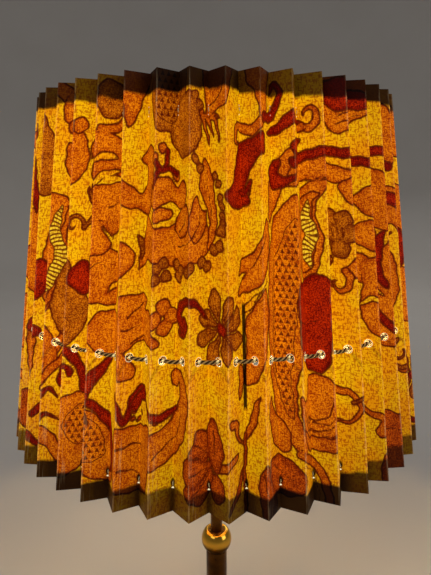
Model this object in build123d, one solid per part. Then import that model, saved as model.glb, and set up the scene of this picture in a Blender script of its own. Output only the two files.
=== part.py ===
from build123d import *
from math import atan2, cos, hypot, pi, sin, sqrt
import os

# Table lamp with a pleated, laced linen shade on a telescoping brass stem.
# Every length is in millimetres. +Z is up, the origin is under the middle of the base
# and the front faces -Y. An azimuth counts from -Y towards +X, in radians.
# The lamp is drawn with its stem locked at the working height.

# Clearances
RUNNING = 0.05  # radial, between a shaft and the hole that it turns or slides in
LOOSE = 0.25  # radial, between pieces that only slip over each other
SEAT = 0.3  # between a wire and the cloth that lies against it

# Pleated shade
SHADE_BOTTOM = 265.0  # height of its lower edge above the table
SHADE_HEIGHT = 235.0
TOP_RIDGE_R = 124.0
BOTTOM_RIDGE_R = 152.5
PLEATS = 44
FACE_WIDTH = 15.0  # one pleat face, across
FIRST_RIDGE = 0.0436  # azimuth of the ridge nearest the front
CLOTH_T = 0.6
TOP_HEM = 11.0
BOTTOM_HEM = 12.0
HEM_T = 0.5
HEM_GAP = 0.1

# Lacing cord through both faces of every pleat
LACING_HEIGHT = 84.0  # above the shade's lower edge
LACING_SHARE = 0.48  # of the face, from the ridge to the hole
LACING_HOLE_R = 2.5
LACING_CORD_R = 1.5

# Wire frame
RING_WIRE_R = 1.5
RIB_WIRE_R = 1.25
ARM_WIRE_R = 1.5
BOTTOM_RING_HEIGHT = 15.0  # above the shade's lower edge
TOP_RING_DROP = 20.0  # below the shade's upper edge
FRAME_SIDES = 4  # ribs, and also arms
ARM_LEVEL_R = 60.0  # where an arm leaves the level and slopes down
ARM_BEND_R = 12.0
THREAD_R = 0.35
STITCH_SLACK = 0.1

# Telescoping stem
ROD_R = 5.0
ROD_WALL = 1.5
GUIDE_WALL = 1.35
GUIDE_LENGTH = 12.0
TUBE_WALL = 2.35
SPIGOT_WALL = 0.8
SPIGOT_LENGTH = 7.7
BALL_DROP = 117.0  # ball centre below the shade's lower edge
BALL_STANDOUT = 4.0  # ball radius beyond the tube
BALL_FOOT_INSET = 0.45  # ball's foot inside the tube's edge
BALL_TOP = 8.5  # flat top above the ball's centre
DISH_DEPTH = 0.9
DISH_RIM = 0.4
BUSH_WALL = 1.15
BUSH_PROUD = 0.6  # bush above the dish
SHOULDER_GAP = 0.2
ROD_LENGTH = 193.0
CAP_RISE = 10.0  # holder's foot above the shade's lower edge
ROD_ENGAGEMENT = 6.0  # rod inside the holder's foot

# Lamp holder and bulb
BULB_CAP_R = 13.2
BULB_CAP_WALL = 0.6
BULB_CAP_LENGTH = 21.5
GLOBE_R = 30.0
GLOBE_RISE = 48.5  # globe centre above the bulb cap's rim
GLASS_T = 0.8
SHELL_WALL = 0.6
SHELL_CLEARANCE = 0.2
INSULATOR_WALL = 4.2
INSULATOR_FLOOR = 4.3
BODY_WALL = 1.7
BODY_LENGTH = 32.0
CAP_WALL = 1.3
CAP_LENGTH = 24.0
CAP_SKIRT = 10.0
FOOT_WALL = 2.6
FLANGE_HEIGHT = 16.0  # flange's underside above the body's foot
FLANGE_T = 2.5
FLANGE_WIDTH = 3.8
FITTER_T = 1.6
FITTER_WIDTH = 6.5
SHADE_RING_T = 6.2
SHADE_RING_WIDTH = 4.5
GRIP_NOTCHES = 16
GRIP_NOTCH_R = 1.1
CONTACT_R = 4.0
CONTACT_T = 1.7
TIP_T = 1.4
SWITCH_SHAFT_R = 2.0
SWITCH_HEIGHT = 8.0  # switch axis above the body's foot
SWITCH_REACH = 17.0  # key's end beyond the body
KEY_LENGTH = 9.0
KEY_WIDTH = 12.0
KEY_T = 2.6
TERMINAL_R = 2.4
TERMINAL_PITCH_R = 9.0
FILAMENTS = 6
FILAMENT_R = 0.9
FILAMENT_LENGTH = 38.0
FILAMENT_PITCH_R = 7.5
FILAMENT_SEAT = 0.15  # filament's foot above its mount

# Base
BASE_R = 82.5
BASE_WALL = 1.5
BASE_FOOT_H = 15.0  # upright edge of the base
BASE_TOP = 32.0
BASE_TOP_R = 17.0
SHOULDER_R = 6.0
PAD_T = 2.0
PAD_INSET = 4.5
LIP = 1.0  # base shell above the table
WEIGHT_GAP = 1.6
WEIGHT_TOP_R = 30.0
RECESS_R = 17.0
RECESS_H = 8.5
FLANGE_R = 15.0
STEM_FLANGE_H = 8.0
NUT_R = 13.0
NUT_T = 5.0
WASHER_R = 14.5
WASHER_T = 1.2
GROMMET_BORE_R = 3.2
GROMMET_WALL = 1.8
GROMMET_LIP = 1.3
GROMMET_LIP_T = 1.6
GROMMET_HEIGHT = 8.2
CHANNEL_CLEARANCE = 1.0

# Worked out
HALF_PITCH = pi / PLEATS
SEAM_FOLD = 1  # a valley, and the opposite valley is the other seam
TUBE_BORE_R = ROD_R + GUIDE_WALL + RUNNING
TUBE_R = TUBE_BORE_R + TUBE_WALL
SPIGOT_R = TUBE_BORE_R + SPIGOT_WALL
BALL_R = TUBE_R + BALL_STANDOUT
BALL_Z = SHADE_BOTTOM - BALL_DROP
BALL_FOOT_Z = BALL_Z - sqrt(BALL_R**2 - (TUBE_R - BALL_FOOT_INSET) ** 2)
TUBE_TOP = BALL_FOOT_Z - SHOULDER_GAP
SPIGOT_TOP = TUBE_TOP + SPIGOT_LENGTH
BUSH_R = ROD_R + RUNNING + BUSH_WALL
DISH_Z = BALL_Z + BALL_TOP - DISH_DEPTH
HOLDER_FOOT = SHADE_BOTTOM + CAP_RISE
ROD_TOP = HOLDER_FOOT + ROD_ENGAGEMENT
BODY_FOOT = HOLDER_FOOT + CAP_LENGTH
SHELL_BORE_R = BULB_CAP_R + SHELL_CLEARANCE
SHELL_R = SHELL_BORE_R + SHELL_WALL
INSULATOR_R = SHELL_R + INSULATOR_WALL
BODY_R = INSULATOR_R + LOOSE + BODY_WALL
BODY_TOP = BODY_FOOT + BODY_LENGTH
FITTER_Z = BODY_FOOT + FLANGE_HEIGHT + FLANGE_T + LOOSE
FITTER_BORE_R = BODY_R + LOOSE
FITTER_R = FITTER_BORE_R + FITTER_WIDTH
SOCKET_FLOOR = BODY_FOOT + INSULATOR_FLOOR
BULB_FOOT = SOCKET_FLOOR + CONTACT_T + LOOSE
BULB_CAP_TOP = BULB_FOOT + TIP_T + BULB_CAP_LENGTH
GLOBE_Z = BULB_CAP_TOP + GLOBE_RISE
SWITCH_Z = BODY_FOOT + SWITCH_HEIGHT
WEIGHT_R = BASE_R - BASE_WALL - WEIGHT_GAP
NUT_TOP = PAD_T + RECESS_H - WASHER_T


def at(radius, azimuth, z):
    """Point at a radius, azimuth and height."""
    return Vector(radius * sin(azimuth), -radius * cos(azimuth), z)


def turned(*points):
    """Solid turned about the lamp's axis from (radius, height) points."""
    outline = Polyline(*[(radius, 0, z) for radius, z in points], close=True)
    return revolve(make_face(outline), Axis.Z)


def tube(outer, inner, low, high):
    """Round tube on the lamp's axis."""
    return turned((inner, low), (outer, low), (outer, high), (inner, high))


def disc(radius, low, high):
    """Round disc on the lamp's axis."""
    return Pos(0, 0, low) * extrude(Circle(radius), high - low)


def rod_between(start, end, radius):
    """Straight round bar from one point to another."""
    along = end - start
    return extrude(Plane(origin=start, z_dir=along) * Circle(radius), along.length)


def arc_points(centre, radius, first, last, steps):
    """Points on an arc in the (radius, height) plane, angles in radians."""
    turns = [first + (last - first) * step / steps for step in range(steps + 1)]
    return [(centre[0] + radius * cos(turn), centre[1] + radius * sin(turn)) for turn in turns]


# Shade: cloth, hems, lacing and wire frame


def fold_azimuth(fold):
    """Azimuth of a fold: even numbers are ridges, odd ones valleys."""
    return FIRST_RIDGE + fold * HALF_PITCH


def edge_radius(fold, ridge, inset):
    """Radius of a fold where ridges lie at the given radius, inset square to the cloth."""
    valley = ridge * cos(HALF_PITCH) - sqrt(FACE_WIDTH**2 - (ridge * sin(HALF_PITCH)) ** 2)
    if fold % 2:
        slant = atan2(ridge * sin(HALF_PITCH), ridge * cos(HALF_PITCH) - valley)
        return valley - inset / sin(slant)
    slant = atan2(valley * sin(HALF_PITCH), ridge - valley * cos(HALF_PITCH))
    return ridge - inset / sin(slant)


def fold_point(fold, height, inset=0.0):
    """Point on a fold at a height above the shade's lower edge."""
    low = edge_radius(fold, BOTTOM_RIDGE_R, inset)
    high = edge_radius(fold, TOP_RIDGE_R, inset)
    radius = low + (high - low) * height / SHADE_HEIGHT
    return at(radius, fold_azimuth(fold), SHADE_BOTTOM + height)


def fold_radius(fold, height, inset=0.0):
    """Distance of a fold from the lamp's axis."""
    point = fold_point(fold, height, inset)
    return hypot(point.X, point.Y)


def pleated_strip(folds, low, high, outer, inner):
    """Pleated wall over a run of folds, between two heights and two insets."""
    ends = []
    for height in (low, high):
        front = [fold_point(fold, height, outer) for fold in folds]
        back = [fold_point(fold, height, inner) for fold in reversed(folds)]
        ends.append(make_face(Polyline(*front, *back, close=True)))
    return loft(ends, ruled=True)


def lacing_hole(fold):
    """Drill for the round hole in the face that follows a fold."""
    ridge, valley = (fold, fold + 1) if fold % 2 == 0 else (fold + 1, fold)
    outer = fold_point(ridge, LACING_HEIGHT, CLOTH_T / 2)
    inner = fold_point(valley, LACING_HEIGHT, CLOTH_T / 2)
    middle = outer + (inner - outer) * LACING_SHARE
    square = Vector(0, 0, 1).cross(inner - outer).normalized()
    depth = 4 * CLOTH_T
    return rod_between(middle - square * depth, middle + square * depth, LACING_HOLE_R)


def lacing_radius():
    """Distance of the lacing holes from the lamp's axis."""
    outer = fold_point(0, LACING_HEIGHT, CLOTH_T / 2)
    inner = fold_point(1, LACING_HEIGHT, CLOTH_T / 2)
    middle = outer + (inner - outer) * LACING_SHARE
    return hypot(middle.X, middle.Y)


def panel_folds(side):
    """Fold numbers of one half of the shade, from seam to seam."""
    first = SEAM_FOLD + side * PLEATS
    return list(range(first, first + PLEATS + 1))


def shade_panel(side):
    """One half of the shade's cloth, punched for the lacing."""
    folds = panel_folds(side)
    cloth = pleated_strip(folds, 0, SHADE_HEIGHT, 0, CLOTH_T)
    return cloth - [lacing_hole(fold) for fold in folds[:-1]]


def hem(low, high):
    """Edge of the cloth turned in behind both panels."""
    inset = CLOTH_T + HEM_GAP
    return [pleated_strip(panel_folds(side), low, high, inset, inset + HEM_T) for side in (0, 1)]


def ring_radius(height):
    """Centre line of a wire ring that lies inside the valleys."""
    return fold_radius(1, height, CLOTH_T) - SEAT - RING_WIRE_R


def wire_ring(height):
    """Wire ring at a height above the shade's lower edge."""
    return Pos(0, 0, SHADE_BOTTOM + height) * Torus(ring_radius(height), RING_WIRE_R)


def stitches(height):
    """Thread loops that bind every valley to the wire ring."""
    inside = ring_radius(height) - RING_WIRE_R - THREAD_R
    outside = fold_radius(1, height) + THREAD_R + STITCH_SLACK
    loops = []
    for pleat in range(PLEATS):
        azimuth = fold_azimuth(2 * pleat + 1)
        centre = at((inside + outside) / 2, azimuth, SHADE_BOTTOM + height)
        across = Plane(origin=centre, z_dir=at(1, azimuth + pi / 2, 0))
        loops.append(across * Torus((outside - inside) / 2 + THREAD_R / 2, THREAD_R))
    return loops


def frame_azimuth(side, share=0.0):
    """Azimuth of a rib, or of an arm at half a share further round."""
    return fold_azimuth(SEAM_FOLD) + (side + share) * 2 * pi / FRAME_SIDES


def rib(side, rings):
    """Upright wire, coped to both rings."""
    low, high = BOTTOM_RING_HEIGHT, SHADE_HEIGHT - TOP_RING_DROP
    start = at(ring_radius(low), frame_azimuth(side), SHADE_BOTTOM + low)
    end = at(ring_radius(high), frame_azimuth(side), SHADE_BOTTOM + high)
    return rod_between(start, end, RIB_WIRE_R) - rings


def arm(side, ring, fitter):
    """Wire from the bottom ring to the fitter, coped to both."""
    azimuth = frame_azimuth(side, 0.5)
    level = FITTER_Z + FITTER_T / 2
    start = at(FITTER_R - RING_WIRE_R / 2, azimuth, level)
    bend = at(ARM_LEVEL_R, azimuth, level)
    end = at(ring_radius(BOTTOM_RING_HEIGHT), azimuth, SHADE_BOTTOM + BOTTOM_RING_HEIGHT)
    route = FilletPolyline(start, bend, end, radius=ARM_BEND_R)
    section = Plane(origin=start, z_dir=bend - start) * Circle(ARM_WIRE_R)
    return sweep(section, route) - [ring, fitter]


def make_shade():
    """Nodes that turn with the shade."""
    bottom_ring = wire_ring(BOTTOM_RING_HEIGHT)
    top_ring = wire_ring(SHADE_HEIGHT - TOP_RING_DROP)
    fitter = tube(FITTER_R, FITTER_BORE_R, FITTER_Z, FITTER_Z + FITTER_T)
    nodes = {
        "shade_panel_right": shade_panel(0),
        "shade_panel_left": shade_panel(1),
        "top_hem": hem(SHADE_HEIGHT - TOP_HEM, SHADE_HEIGHT),
        "bottom_hem": hem(0, BOTTOM_HEM),
        "lacing_cord": Pos(0, 0, SHADE_BOTTOM + LACING_HEIGHT)
        * Torus(lacing_radius(), LACING_CORD_R),
        "bottom_ring": bottom_ring,
        "top_ring": top_ring,
        "fitter_ring": fitter,
        "bottom_stitches": stitches(BOTTOM_RING_HEIGHT),
        "top_stitches": stitches(SHADE_HEIGHT - TOP_RING_DROP),
    }
    for side in range(FRAME_SIDES):
        nodes[f"rib_{side + 1}"] = rib(side, [bottom_ring, top_ring])
        nodes[f"carrier_arm_{side + 1}"] = arm(side, bottom_ring, fitter)
    return nodes


# Base and outer tube


def shell_outline(inset):
    """Top and edge of the base from its foot to the stem, inset into the metal."""
    shoulder = (BASE_R - SHOULDER_R, BASE_FOOT_H)
    edge = arc_points(shoulder, SHOULDER_R - inset, 0, pi / 2, 8)
    rise = BASE_TOP - BASE_FOOT_H - SHOULDER_R
    run = shoulder[0] - BASE_TOP_R
    sweep_up = [
        (
            shoulder[0] - run * step / 16,
            BASE_FOOT_H + SHOULDER_R - inset + rise * (1 - cos(pi * step / 16)) / 2,
        )
        for step in range(1, 17)
    ]
    return edge + sweep_up


def cord_grommet(back, radius):
    """Sleeve through the base's edge with a lip on each side of its wall."""
    inside, outside = BASE_R - BASE_WALL, BASE_R
    start = inside - GROMMET_LIP_T
    length = outside + GROMMET_LIP_T - start
    sleeve = back * Pos(0, 0, start) * extrude(Circle(radius - RUNNING), length)
    lips = back * Pos(0, 0, start) * extrude(Circle(radius + GROMMET_LIP), length)
    lips &= tube(outside + GROMMET_LIP_T, start, 0, BASE_FOOT_H)
    lips -= tube(outside, inside, 0, BASE_FOOT_H)
    return sleeve + lips - back * extrude(Circle(GROMMET_BORE_R), BASE_R + length)


def make_base():
    """Nodes that stand on the table."""
    stem_hole = TUBE_R + LOOSE
    outer = [(BASE_R, LIP), *shell_outline(0), (stem_hole, BASE_TOP)]
    inner = [(BASE_R - BASE_WALL, LIP), *shell_outline(BASE_WALL), (stem_hole, BASE_TOP - BASE_WALL)]
    grommet_r = GROMMET_BORE_R + GROMMET_WALL
    back = Plane(origin=(0, 0, GROMMET_HEIGHT), z_dir=(0, 1, 0))
    shell = turned(*outer, *reversed(inner)) - back * extrude(Circle(grommet_r), BASE_R + 1)
    weight = turned(
        (stem_hole, PAD_T),
        (WEIGHT_R - GROMMET_LIP_T, PAD_T),
        (WEIGHT_R - GROMMET_LIP_T, BASE_FOOT_H - WEIGHT_GAP),
        (WEIGHT_TOP_R, BASE_TOP - BASE_WALL - 2 * WEIGHT_GAP),
        (stem_hole, BASE_TOP - BASE_WALL - 2 * WEIGHT_GAP),
    )
    weight -= disc(RECESS_R, 0, PAD_T + RECESS_H)
    channel_w = 2 * (grommet_r + CHANNEL_CLEARANCE)
    channel_h = GROMMET_HEIGHT + grommet_r
    weight -= Pos(0, BASE_R / 2, channel_h / 2) * Box(channel_w, BASE_R, channel_h)
    nut = Pos(0, 0, NUT_TOP - NUT_T) * extrude(RegularPolygon(NUT_R, 6), NUT_T)
    outer_tube = tube(TUBE_R, TUBE_BORE_R, NUT_TOP - NUT_T, TUBE_TOP)
    outer_tube += tube(SPIGOT_R, TUBE_BORE_R, TUBE_TOP, SPIGOT_TOP)
    flange_edge = STEM_FLANGE_H / 2
    flange = turned(
        (TUBE_R, BASE_TOP),
        (FLANGE_R, BASE_TOP),
        *arc_points((FLANGE_R - 1, BASE_TOP + 2), 1, 0, pi / 2, 4),
        *arc_points((FLANGE_R - 1, BASE_TOP + 3 + flange_edge), flange_edge, -pi / 2, -pi, 6)[1:],
        (TUBE_R, BASE_TOP + 3 + flange_edge),
    )
    return {
        "felt_pad": disc(BASE_R - PAD_INSET, 0, PAD_T),
        "base_shell": shell,
        "base_weight": weight,
        "cord_grommet": cord_grommet(back, grommet_r),
        "stem_flange": flange,
        "outer_tube": outer_tube,
        "stem_washer": tube(WASHER_R, stem_hole, NUT_TOP, NUT_TOP + WASHER_T),
        "stem_locknut": nut - disc(TUBE_R, 0, BASE_TOP),
    }


# Collar, rod and lamp holder


def make_collar():
    """Ball that is turned to lock the rod, with its bush."""
    ball = Pos(0, 0, BALL_Z) * Sphere(BALL_R)
    ball &= disc(2 * BALL_R, BALL_FOOT_Z, BALL_Z + BALL_TOP)
    dish_r = sqrt(BALL_R**2 - BALL_TOP**2) - DISH_RIM
    ball -= turned((0, DISH_Z), (BUSH_R, DISH_Z), (dish_r, BALL_Z + BALL_TOP), (0, BALL_Z + BALL_TOP))
    ball -= disc(SPIGOT_R + RUNNING, BALL_FOOT_Z, SPIGOT_TOP + LOOSE)
    ball -= disc(BUSH_R, BALL_FOOT_Z, BALL_Z + BALL_TOP)
    bush_foot, bush_top = SPIGOT_TOP + LOOSE, DISH_Z + BUSH_PROUD
    chamfer_w = BUSH_WALL / 3
    bush = turned(
        (ROD_R + RUNNING, bush_foot),
        (BUSH_R, bush_foot),
        (BUSH_R, bush_top - chamfer_w),
        (BUSH_R - chamfer_w, bush_top),
        (ROD_R + RUNNING + chamfer_w, bush_top),
        (ROD_R + RUNNING, bush_top - chamfer_w),
    )
    return {"ball_collar": ball, "collar_bush": bush}


def holder_cap():
    """Bell-shaped foot of the holder, screwed on the rod."""
    foot_r = ROD_R + FOOT_WALL
    bell_h = CAP_LENGTH - CAP_SKIRT - ROD_ENGAGEMENT
    bell = [
        (
            foot_r + (BODY_R - foot_r) * sin(pi / 2 * step / 8),
            HOLDER_FOOT + ROD_ENGAGEMENT + bell_h * (1 - cos(pi / 2 * step / 8)),
        )
        for step in range(9)
    ]
    inner = [(radius - CAP_WALL, z + CAP_WALL / 2) for radius, z in bell]
    return turned(
        (ROD_R, HOLDER_FOOT),
        (foot_r, HOLDER_FOOT),
        *bell,
        (BODY_R, BODY_FOOT),
        (BODY_R - CAP_WALL, BODY_FOOT),
        *reversed(inner),
        (ROD_R, HOLDER_FOOT + ROD_ENGAGEMENT + CAP_WALL / 2),
    )


def make_stem():
    """Rod, lamp holder and the contacts inside it."""
    rod_foot = ROD_TOP - ROD_LENGTH
    body_bore = INSULATOR_R + LOOSE
    flange_low = BODY_FOOT + FLANGE_HEIGHT
    shaft_hole = Plane(origin=(0, 0, SWITCH_Z), z_dir=(1, 0, 0)) * extrude(
        Circle(SWITCH_SHAFT_R + RUNNING), BODY_R + LOOSE
    )
    body = turned(
        (body_bore, BODY_FOOT),
        (BODY_R, BODY_FOOT),
        (BODY_R, flange_low),
        (BODY_R + FLANGE_WIDTH, flange_low + FLANGE_T / 2),
        (BODY_R + FLANGE_WIDTH, flange_low + FLANGE_T),
        (BODY_R, flange_low + FLANGE_T),
        (BODY_R, BODY_TOP),
        (body_bore, BODY_TOP),
    )
    insulator = disc(INSULATOR_R, BODY_FOOT, BODY_TOP - 1)
    insulator -= disc(SHELL_R, SOCKET_FLOOR, BODY_TOP)
    drill = shaft_hole & tube(2 * BODY_R, SHELL_R + INSULATOR_WALL / 3, BODY_FOOT, BODY_TOP)
    screws = []
    for side in (-1, 1):
        head = disc(TERMINAL_R, BODY_FOOT - 2, BODY_FOOT)
        slot = Pos(0, 0, BODY_FOOT - 2) * Box(3 * TERMINAL_R, 0.7, 1.2)
        screws.append(Pos(side * TERMINAL_PITCH_R, 0, 0) * (head - slot))
    dome = turned(
        (0, SOCKET_FLOOR),
        (CONTACT_R, SOCKET_FLOOR),
        (CONTACT_R, SOCKET_FLOOR + CONTACT_T / 2),
        (CONTACT_R / 2, SOCKET_FLOOR + CONTACT_T),
        (0, SOCKET_FLOOR + CONTACT_T),
    )
    return {
        "inner_rod": tube(ROD_R, ROD_R - ROD_WALL, rod_foot, ROD_TOP),
        "rod_guide": tube(ROD_R + GUIDE_WALL, ROD_R, rod_foot, rod_foot + GUIDE_LENGTH),
        "holder_cap": holder_cap(),
        "holder_body": body - shaft_hole,
        "holder_insulator": insulator - drill,
        "screw_shell": tube(SHELL_R, SHELL_BORE_R, SOCKET_FLOOR, BODY_TOP - 2),
        "centre_contact": dome,
        "terminal_screws": screws,
    }


def make_switch():
    """Key that is turned to switch the lamp."""
    along = Plane(origin=(0, 0, SWITCH_Z), z_dir=(1, 0, 0))
    inner_end = SHELL_R + INSULATOR_WALL / 3 + LOOSE
    outer_end = BODY_R + SWITCH_REACH
    shaft = along * Pos(0, 0, inner_end) * extrude(Circle(SWITCH_SHAFT_R), outer_end - inner_end - 1)
    collar = along * Pos(0, 0, BODY_R + LOOSE) * extrude(Circle(1.6 * SWITCH_SHAFT_R), 3)
    blade = along * Pos(0, 0, outer_end - KEY_LENGTH) * extrude(
        RectangleRounded(KEY_T, KEY_WIDTH, KEY_T / 2.2), KEY_LENGTH
    )
    return {"switch_key": shaft + collar + blade}


def make_shade_ring():
    """Notched ring that screws down on the fitter."""
    low = FITTER_Z + FITTER_T + LOOSE
    outer = FITTER_BORE_R + SHADE_RING_WIDTH
    ring = tube(outer, FITTER_BORE_R, low, low + SHADE_RING_T)
    notches = [
        Pos(*at(outer + GRIP_NOTCH_R / 3, 2 * pi * notch / GRIP_NOTCHES, low))
        * extrude(Circle(GRIP_NOTCH_R), SHADE_RING_T)
        for notch in range(GRIP_NOTCHES)
    ]
    return {"shade_ring": ring - notches}


def bulb_outline(inset):
    """Neck and globe of the bulb from its foot to its top, inset into the glass."""
    neck_r = BULB_CAP_R - BULB_CAP_WALL - RUNNING - inset
    globe = GLOBE_R - inset
    neck_foot = BULB_CAP_TOP - 4
    join = -pi * 0.24
    start = (globe * cos(join), GLOBE_Z + globe * sin(join))
    rise = start[1] - BULB_CAP_TOP
    flare = [
        (neck_r + (start[0] - neck_r) * (step / 10) ** 1.7, BULB_CAP_TOP + rise * step / 10)
        for step in range(10)
    ]
    return [(neck_r, neck_foot), *flare, *arc_points((0, GLOBE_Z), globe, join, pi / 2, 16)]


def make_bulb():
    """Screw-in filament bulb."""
    skirt_foot = BULB_FOOT + TIP_T + 3
    outer = bulb_outline(0)
    inner = bulb_outline(GLASS_T)
    glass = turned(*outer, *reversed(inner))
    neck_r = BULB_CAP_R - BULB_CAP_WALL - RUNNING - GLASS_T
    pinch_top = GLOBE_Z - FILAMENT_LENGTH / 2
    stem_flare = turned(
        (0, BULB_CAP_TOP - 4),
        (neck_r - RUNNING, BULB_CAP_TOP - 4),
        (neck_r - RUNNING, BULB_CAP_TOP - 3),
        (3, BULB_CAP_TOP + 4),
        (3, pinch_top - 2),
        (FILAMENT_PITCH_R + 2, pinch_top - 1.5),
        (FILAMENT_PITCH_R + 2, pinch_top),
        (0, pinch_top),
    )
    filaments = []
    for number in range(FILAMENTS):
        azimuth = 2 * pi * number / FILAMENTS
        foot = at(FILAMENT_PITCH_R, azimuth, pinch_top + FILAMENT_SEAT)
        head = at(FILAMENT_PITCH_R / 2, azimuth, pinch_top + FILAMENT_LENGTH)
        filaments.append(rod_between(foot, head, FILAMENT_R))
    cap_bore = BULB_CAP_R - BULB_CAP_WALL
    return {
        "bulb_tip": disc(CONTACT_R, BULB_FOOT, BULB_FOOT + TIP_T),
        "bulb_insulator": turned(
            (0, BULB_FOOT + TIP_T),
            (CONTACT_R + 1, BULB_FOOT + TIP_T),
            (cap_bore - RUNNING, skirt_foot),
            (cap_bore - RUNNING, skirt_foot + 2),
            (0, skirt_foot + 2),
        ),
        "bulb_cap": tube(BULB_CAP_R, cap_bore, skirt_foot, BULB_CAP_TOP),
        "bulb_glass": glass,
        "filament_mount": stem_flare,
        "filaments": filaments,
    }


def export(nodes):
    """Writes each node's solids to its own STEP file."""
    os.makedirs("parts", exist_ok=True)
    for name, shape in nodes.items():
        pieces = shape if isinstance(shape, list) else [shape]
        solids = [solid for piece in pieces for solid in piece.solids()]
        export_step(Compound(label=name, children=solids), f"parts/{name}.step")


for make in (make_base, make_collar, make_stem, make_switch, make_shade_ring, make_bulb, make_shade):
    export(make())
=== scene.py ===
import logging
from collections.abc import Callable
from dataclasses import dataclass, field
from enum import Enum
from math import cos, hypot, pi, radians, sin, sqrt

import bpy
import numpy as np
from mathutils import Matrix, Vector


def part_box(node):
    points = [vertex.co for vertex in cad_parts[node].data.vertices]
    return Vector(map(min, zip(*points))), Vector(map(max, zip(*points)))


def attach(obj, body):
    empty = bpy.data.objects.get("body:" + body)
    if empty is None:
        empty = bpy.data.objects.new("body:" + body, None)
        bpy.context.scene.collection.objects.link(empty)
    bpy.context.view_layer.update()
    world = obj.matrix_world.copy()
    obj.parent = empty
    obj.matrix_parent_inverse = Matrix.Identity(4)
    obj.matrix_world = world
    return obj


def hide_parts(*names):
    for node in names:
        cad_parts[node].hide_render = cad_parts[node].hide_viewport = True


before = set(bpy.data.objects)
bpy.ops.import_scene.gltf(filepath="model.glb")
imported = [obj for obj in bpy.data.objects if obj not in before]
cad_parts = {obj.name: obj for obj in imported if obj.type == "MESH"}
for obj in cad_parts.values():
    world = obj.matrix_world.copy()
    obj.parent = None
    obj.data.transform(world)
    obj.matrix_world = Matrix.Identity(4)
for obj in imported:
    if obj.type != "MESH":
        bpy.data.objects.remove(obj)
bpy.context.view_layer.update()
LOG = logging.getLogger("lamp")
MM = 0.001  # metres in a millimetre
Colour = tuple[float, float, float, float]


# ---------------------------------------------------------------- shader maths


def operator(operation: str, swapped: bool = False) -> Callable[["Value", "Value | float"], "Value"]:
    """A method that adds one Math node of two values.

    Args:
        operation: The node's operation.
        swapped: Whether the method's own value comes second.

    Returns:
        The method.
    """

    def method(self: "Value", other: "Value | float") -> "Value":
        """Applies the operation."""
        return self.maths(operation, *((other, self) if swapped else (self, other)))

    return method


class Value:
    """A shader socket that takes part in Python arithmetic."""

    __add__, __radd__ = operator("ADD"), operator("ADD", True)
    __sub__, __rsub__ = operator("SUBTRACT"), operator("SUBTRACT", True)
    __mul__, __rmul__ = operator("MULTIPLY"), operator("MULTIPLY", True)
    __truediv__ = operator("DIVIDE")
    least, most, remainder = operator("MINIMUM"), operator("MAXIMUM"), operator("FLOORED_MODULO")

    def __init__(self, graph: "Graph", socket: bpy.types.NodeSocket) -> None:
        """Wraps one output socket of a graph."""
        self.graph, self.socket = graph, socket

    def maths(self, operation: str, *terms: "Value | float", clamp: bool = False) -> "Value":
        """Adds one Math node.

        Args:
            operation: The node's operation.
            terms: The values in its sockets, in order.
            clamp: Whether the result is held between 0 and 1.

        Returns:
            The node's result.
        """
        settings = {"operation": operation, "use_clamp": clamp}
        node = self.graph.node("ShaderNodeMath", settings, dict(enumerate(terms)))
        return Value(self.graph, node.outputs[0])

    def __abs__(self) -> "Value":
        """Size without sign."""
        return self.maths("ABSOLUTE", self)

    def sine(self) -> "Value":
        """Sine of an angle in radians."""
        return self.maths("SINE", self)

    def whole(self) -> "Value":
        """Largest whole number that isn't above the value."""
        return self.maths("FLOOR", self)

    def within(self) -> "Value":
        """The value held between 0 and 1."""
        return self.maths("ADD", self, 0.0, clamp=True)

    def wave(self, pitch: float) -> "Value":
        """Triangle wave from 0 to half the pitch, zero at every multiple of the pitch."""
        return self.maths("PINGPONG", self, pitch / 2)

    def ramp(self, low: float, high: float) -> "Value":
        """Smooth step from 0 at low to 1 at high, which may run downwards.

        Args:
            low: Value where the step starts.
            high: Value where it ends.

        Returns:
            A value from 0 to 1.
        """
        down = low > high
        first, last = (high, low) if down else (low, high)
        node = self.graph.node(
            "ShaderNodeMapRange",
            {"interpolation_type": "SMOOTHSTEP"},
            {"Value": self, "From Min": first, "From Max": last,
             "To Min": float(down), "To Max": float(not down)},
        )
        return Value(self.graph, node.outputs["Result"])


def tone(red: int, green: int, blue: int, by: float = 1.0) -> Colour:
    """Linear colour from screen levels.

    Args:
        red: Level from 0 to 255, as are green and blue.
        green: Green level.
        blue: Blue level.
        by: Factor on the linear colour.

    Returns:
        Linear red, green, blue and alpha.
    """
    linear = [
        v / 12.92 if v <= 0.04045 else ((v + 0.055) / 1.055) ** 2.4
        for v in (red / 255, green / 255, blue / 255)
    ]
    return (linear[0] * by, linear[1] * by, linear[2] * by, 1.0)


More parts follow.
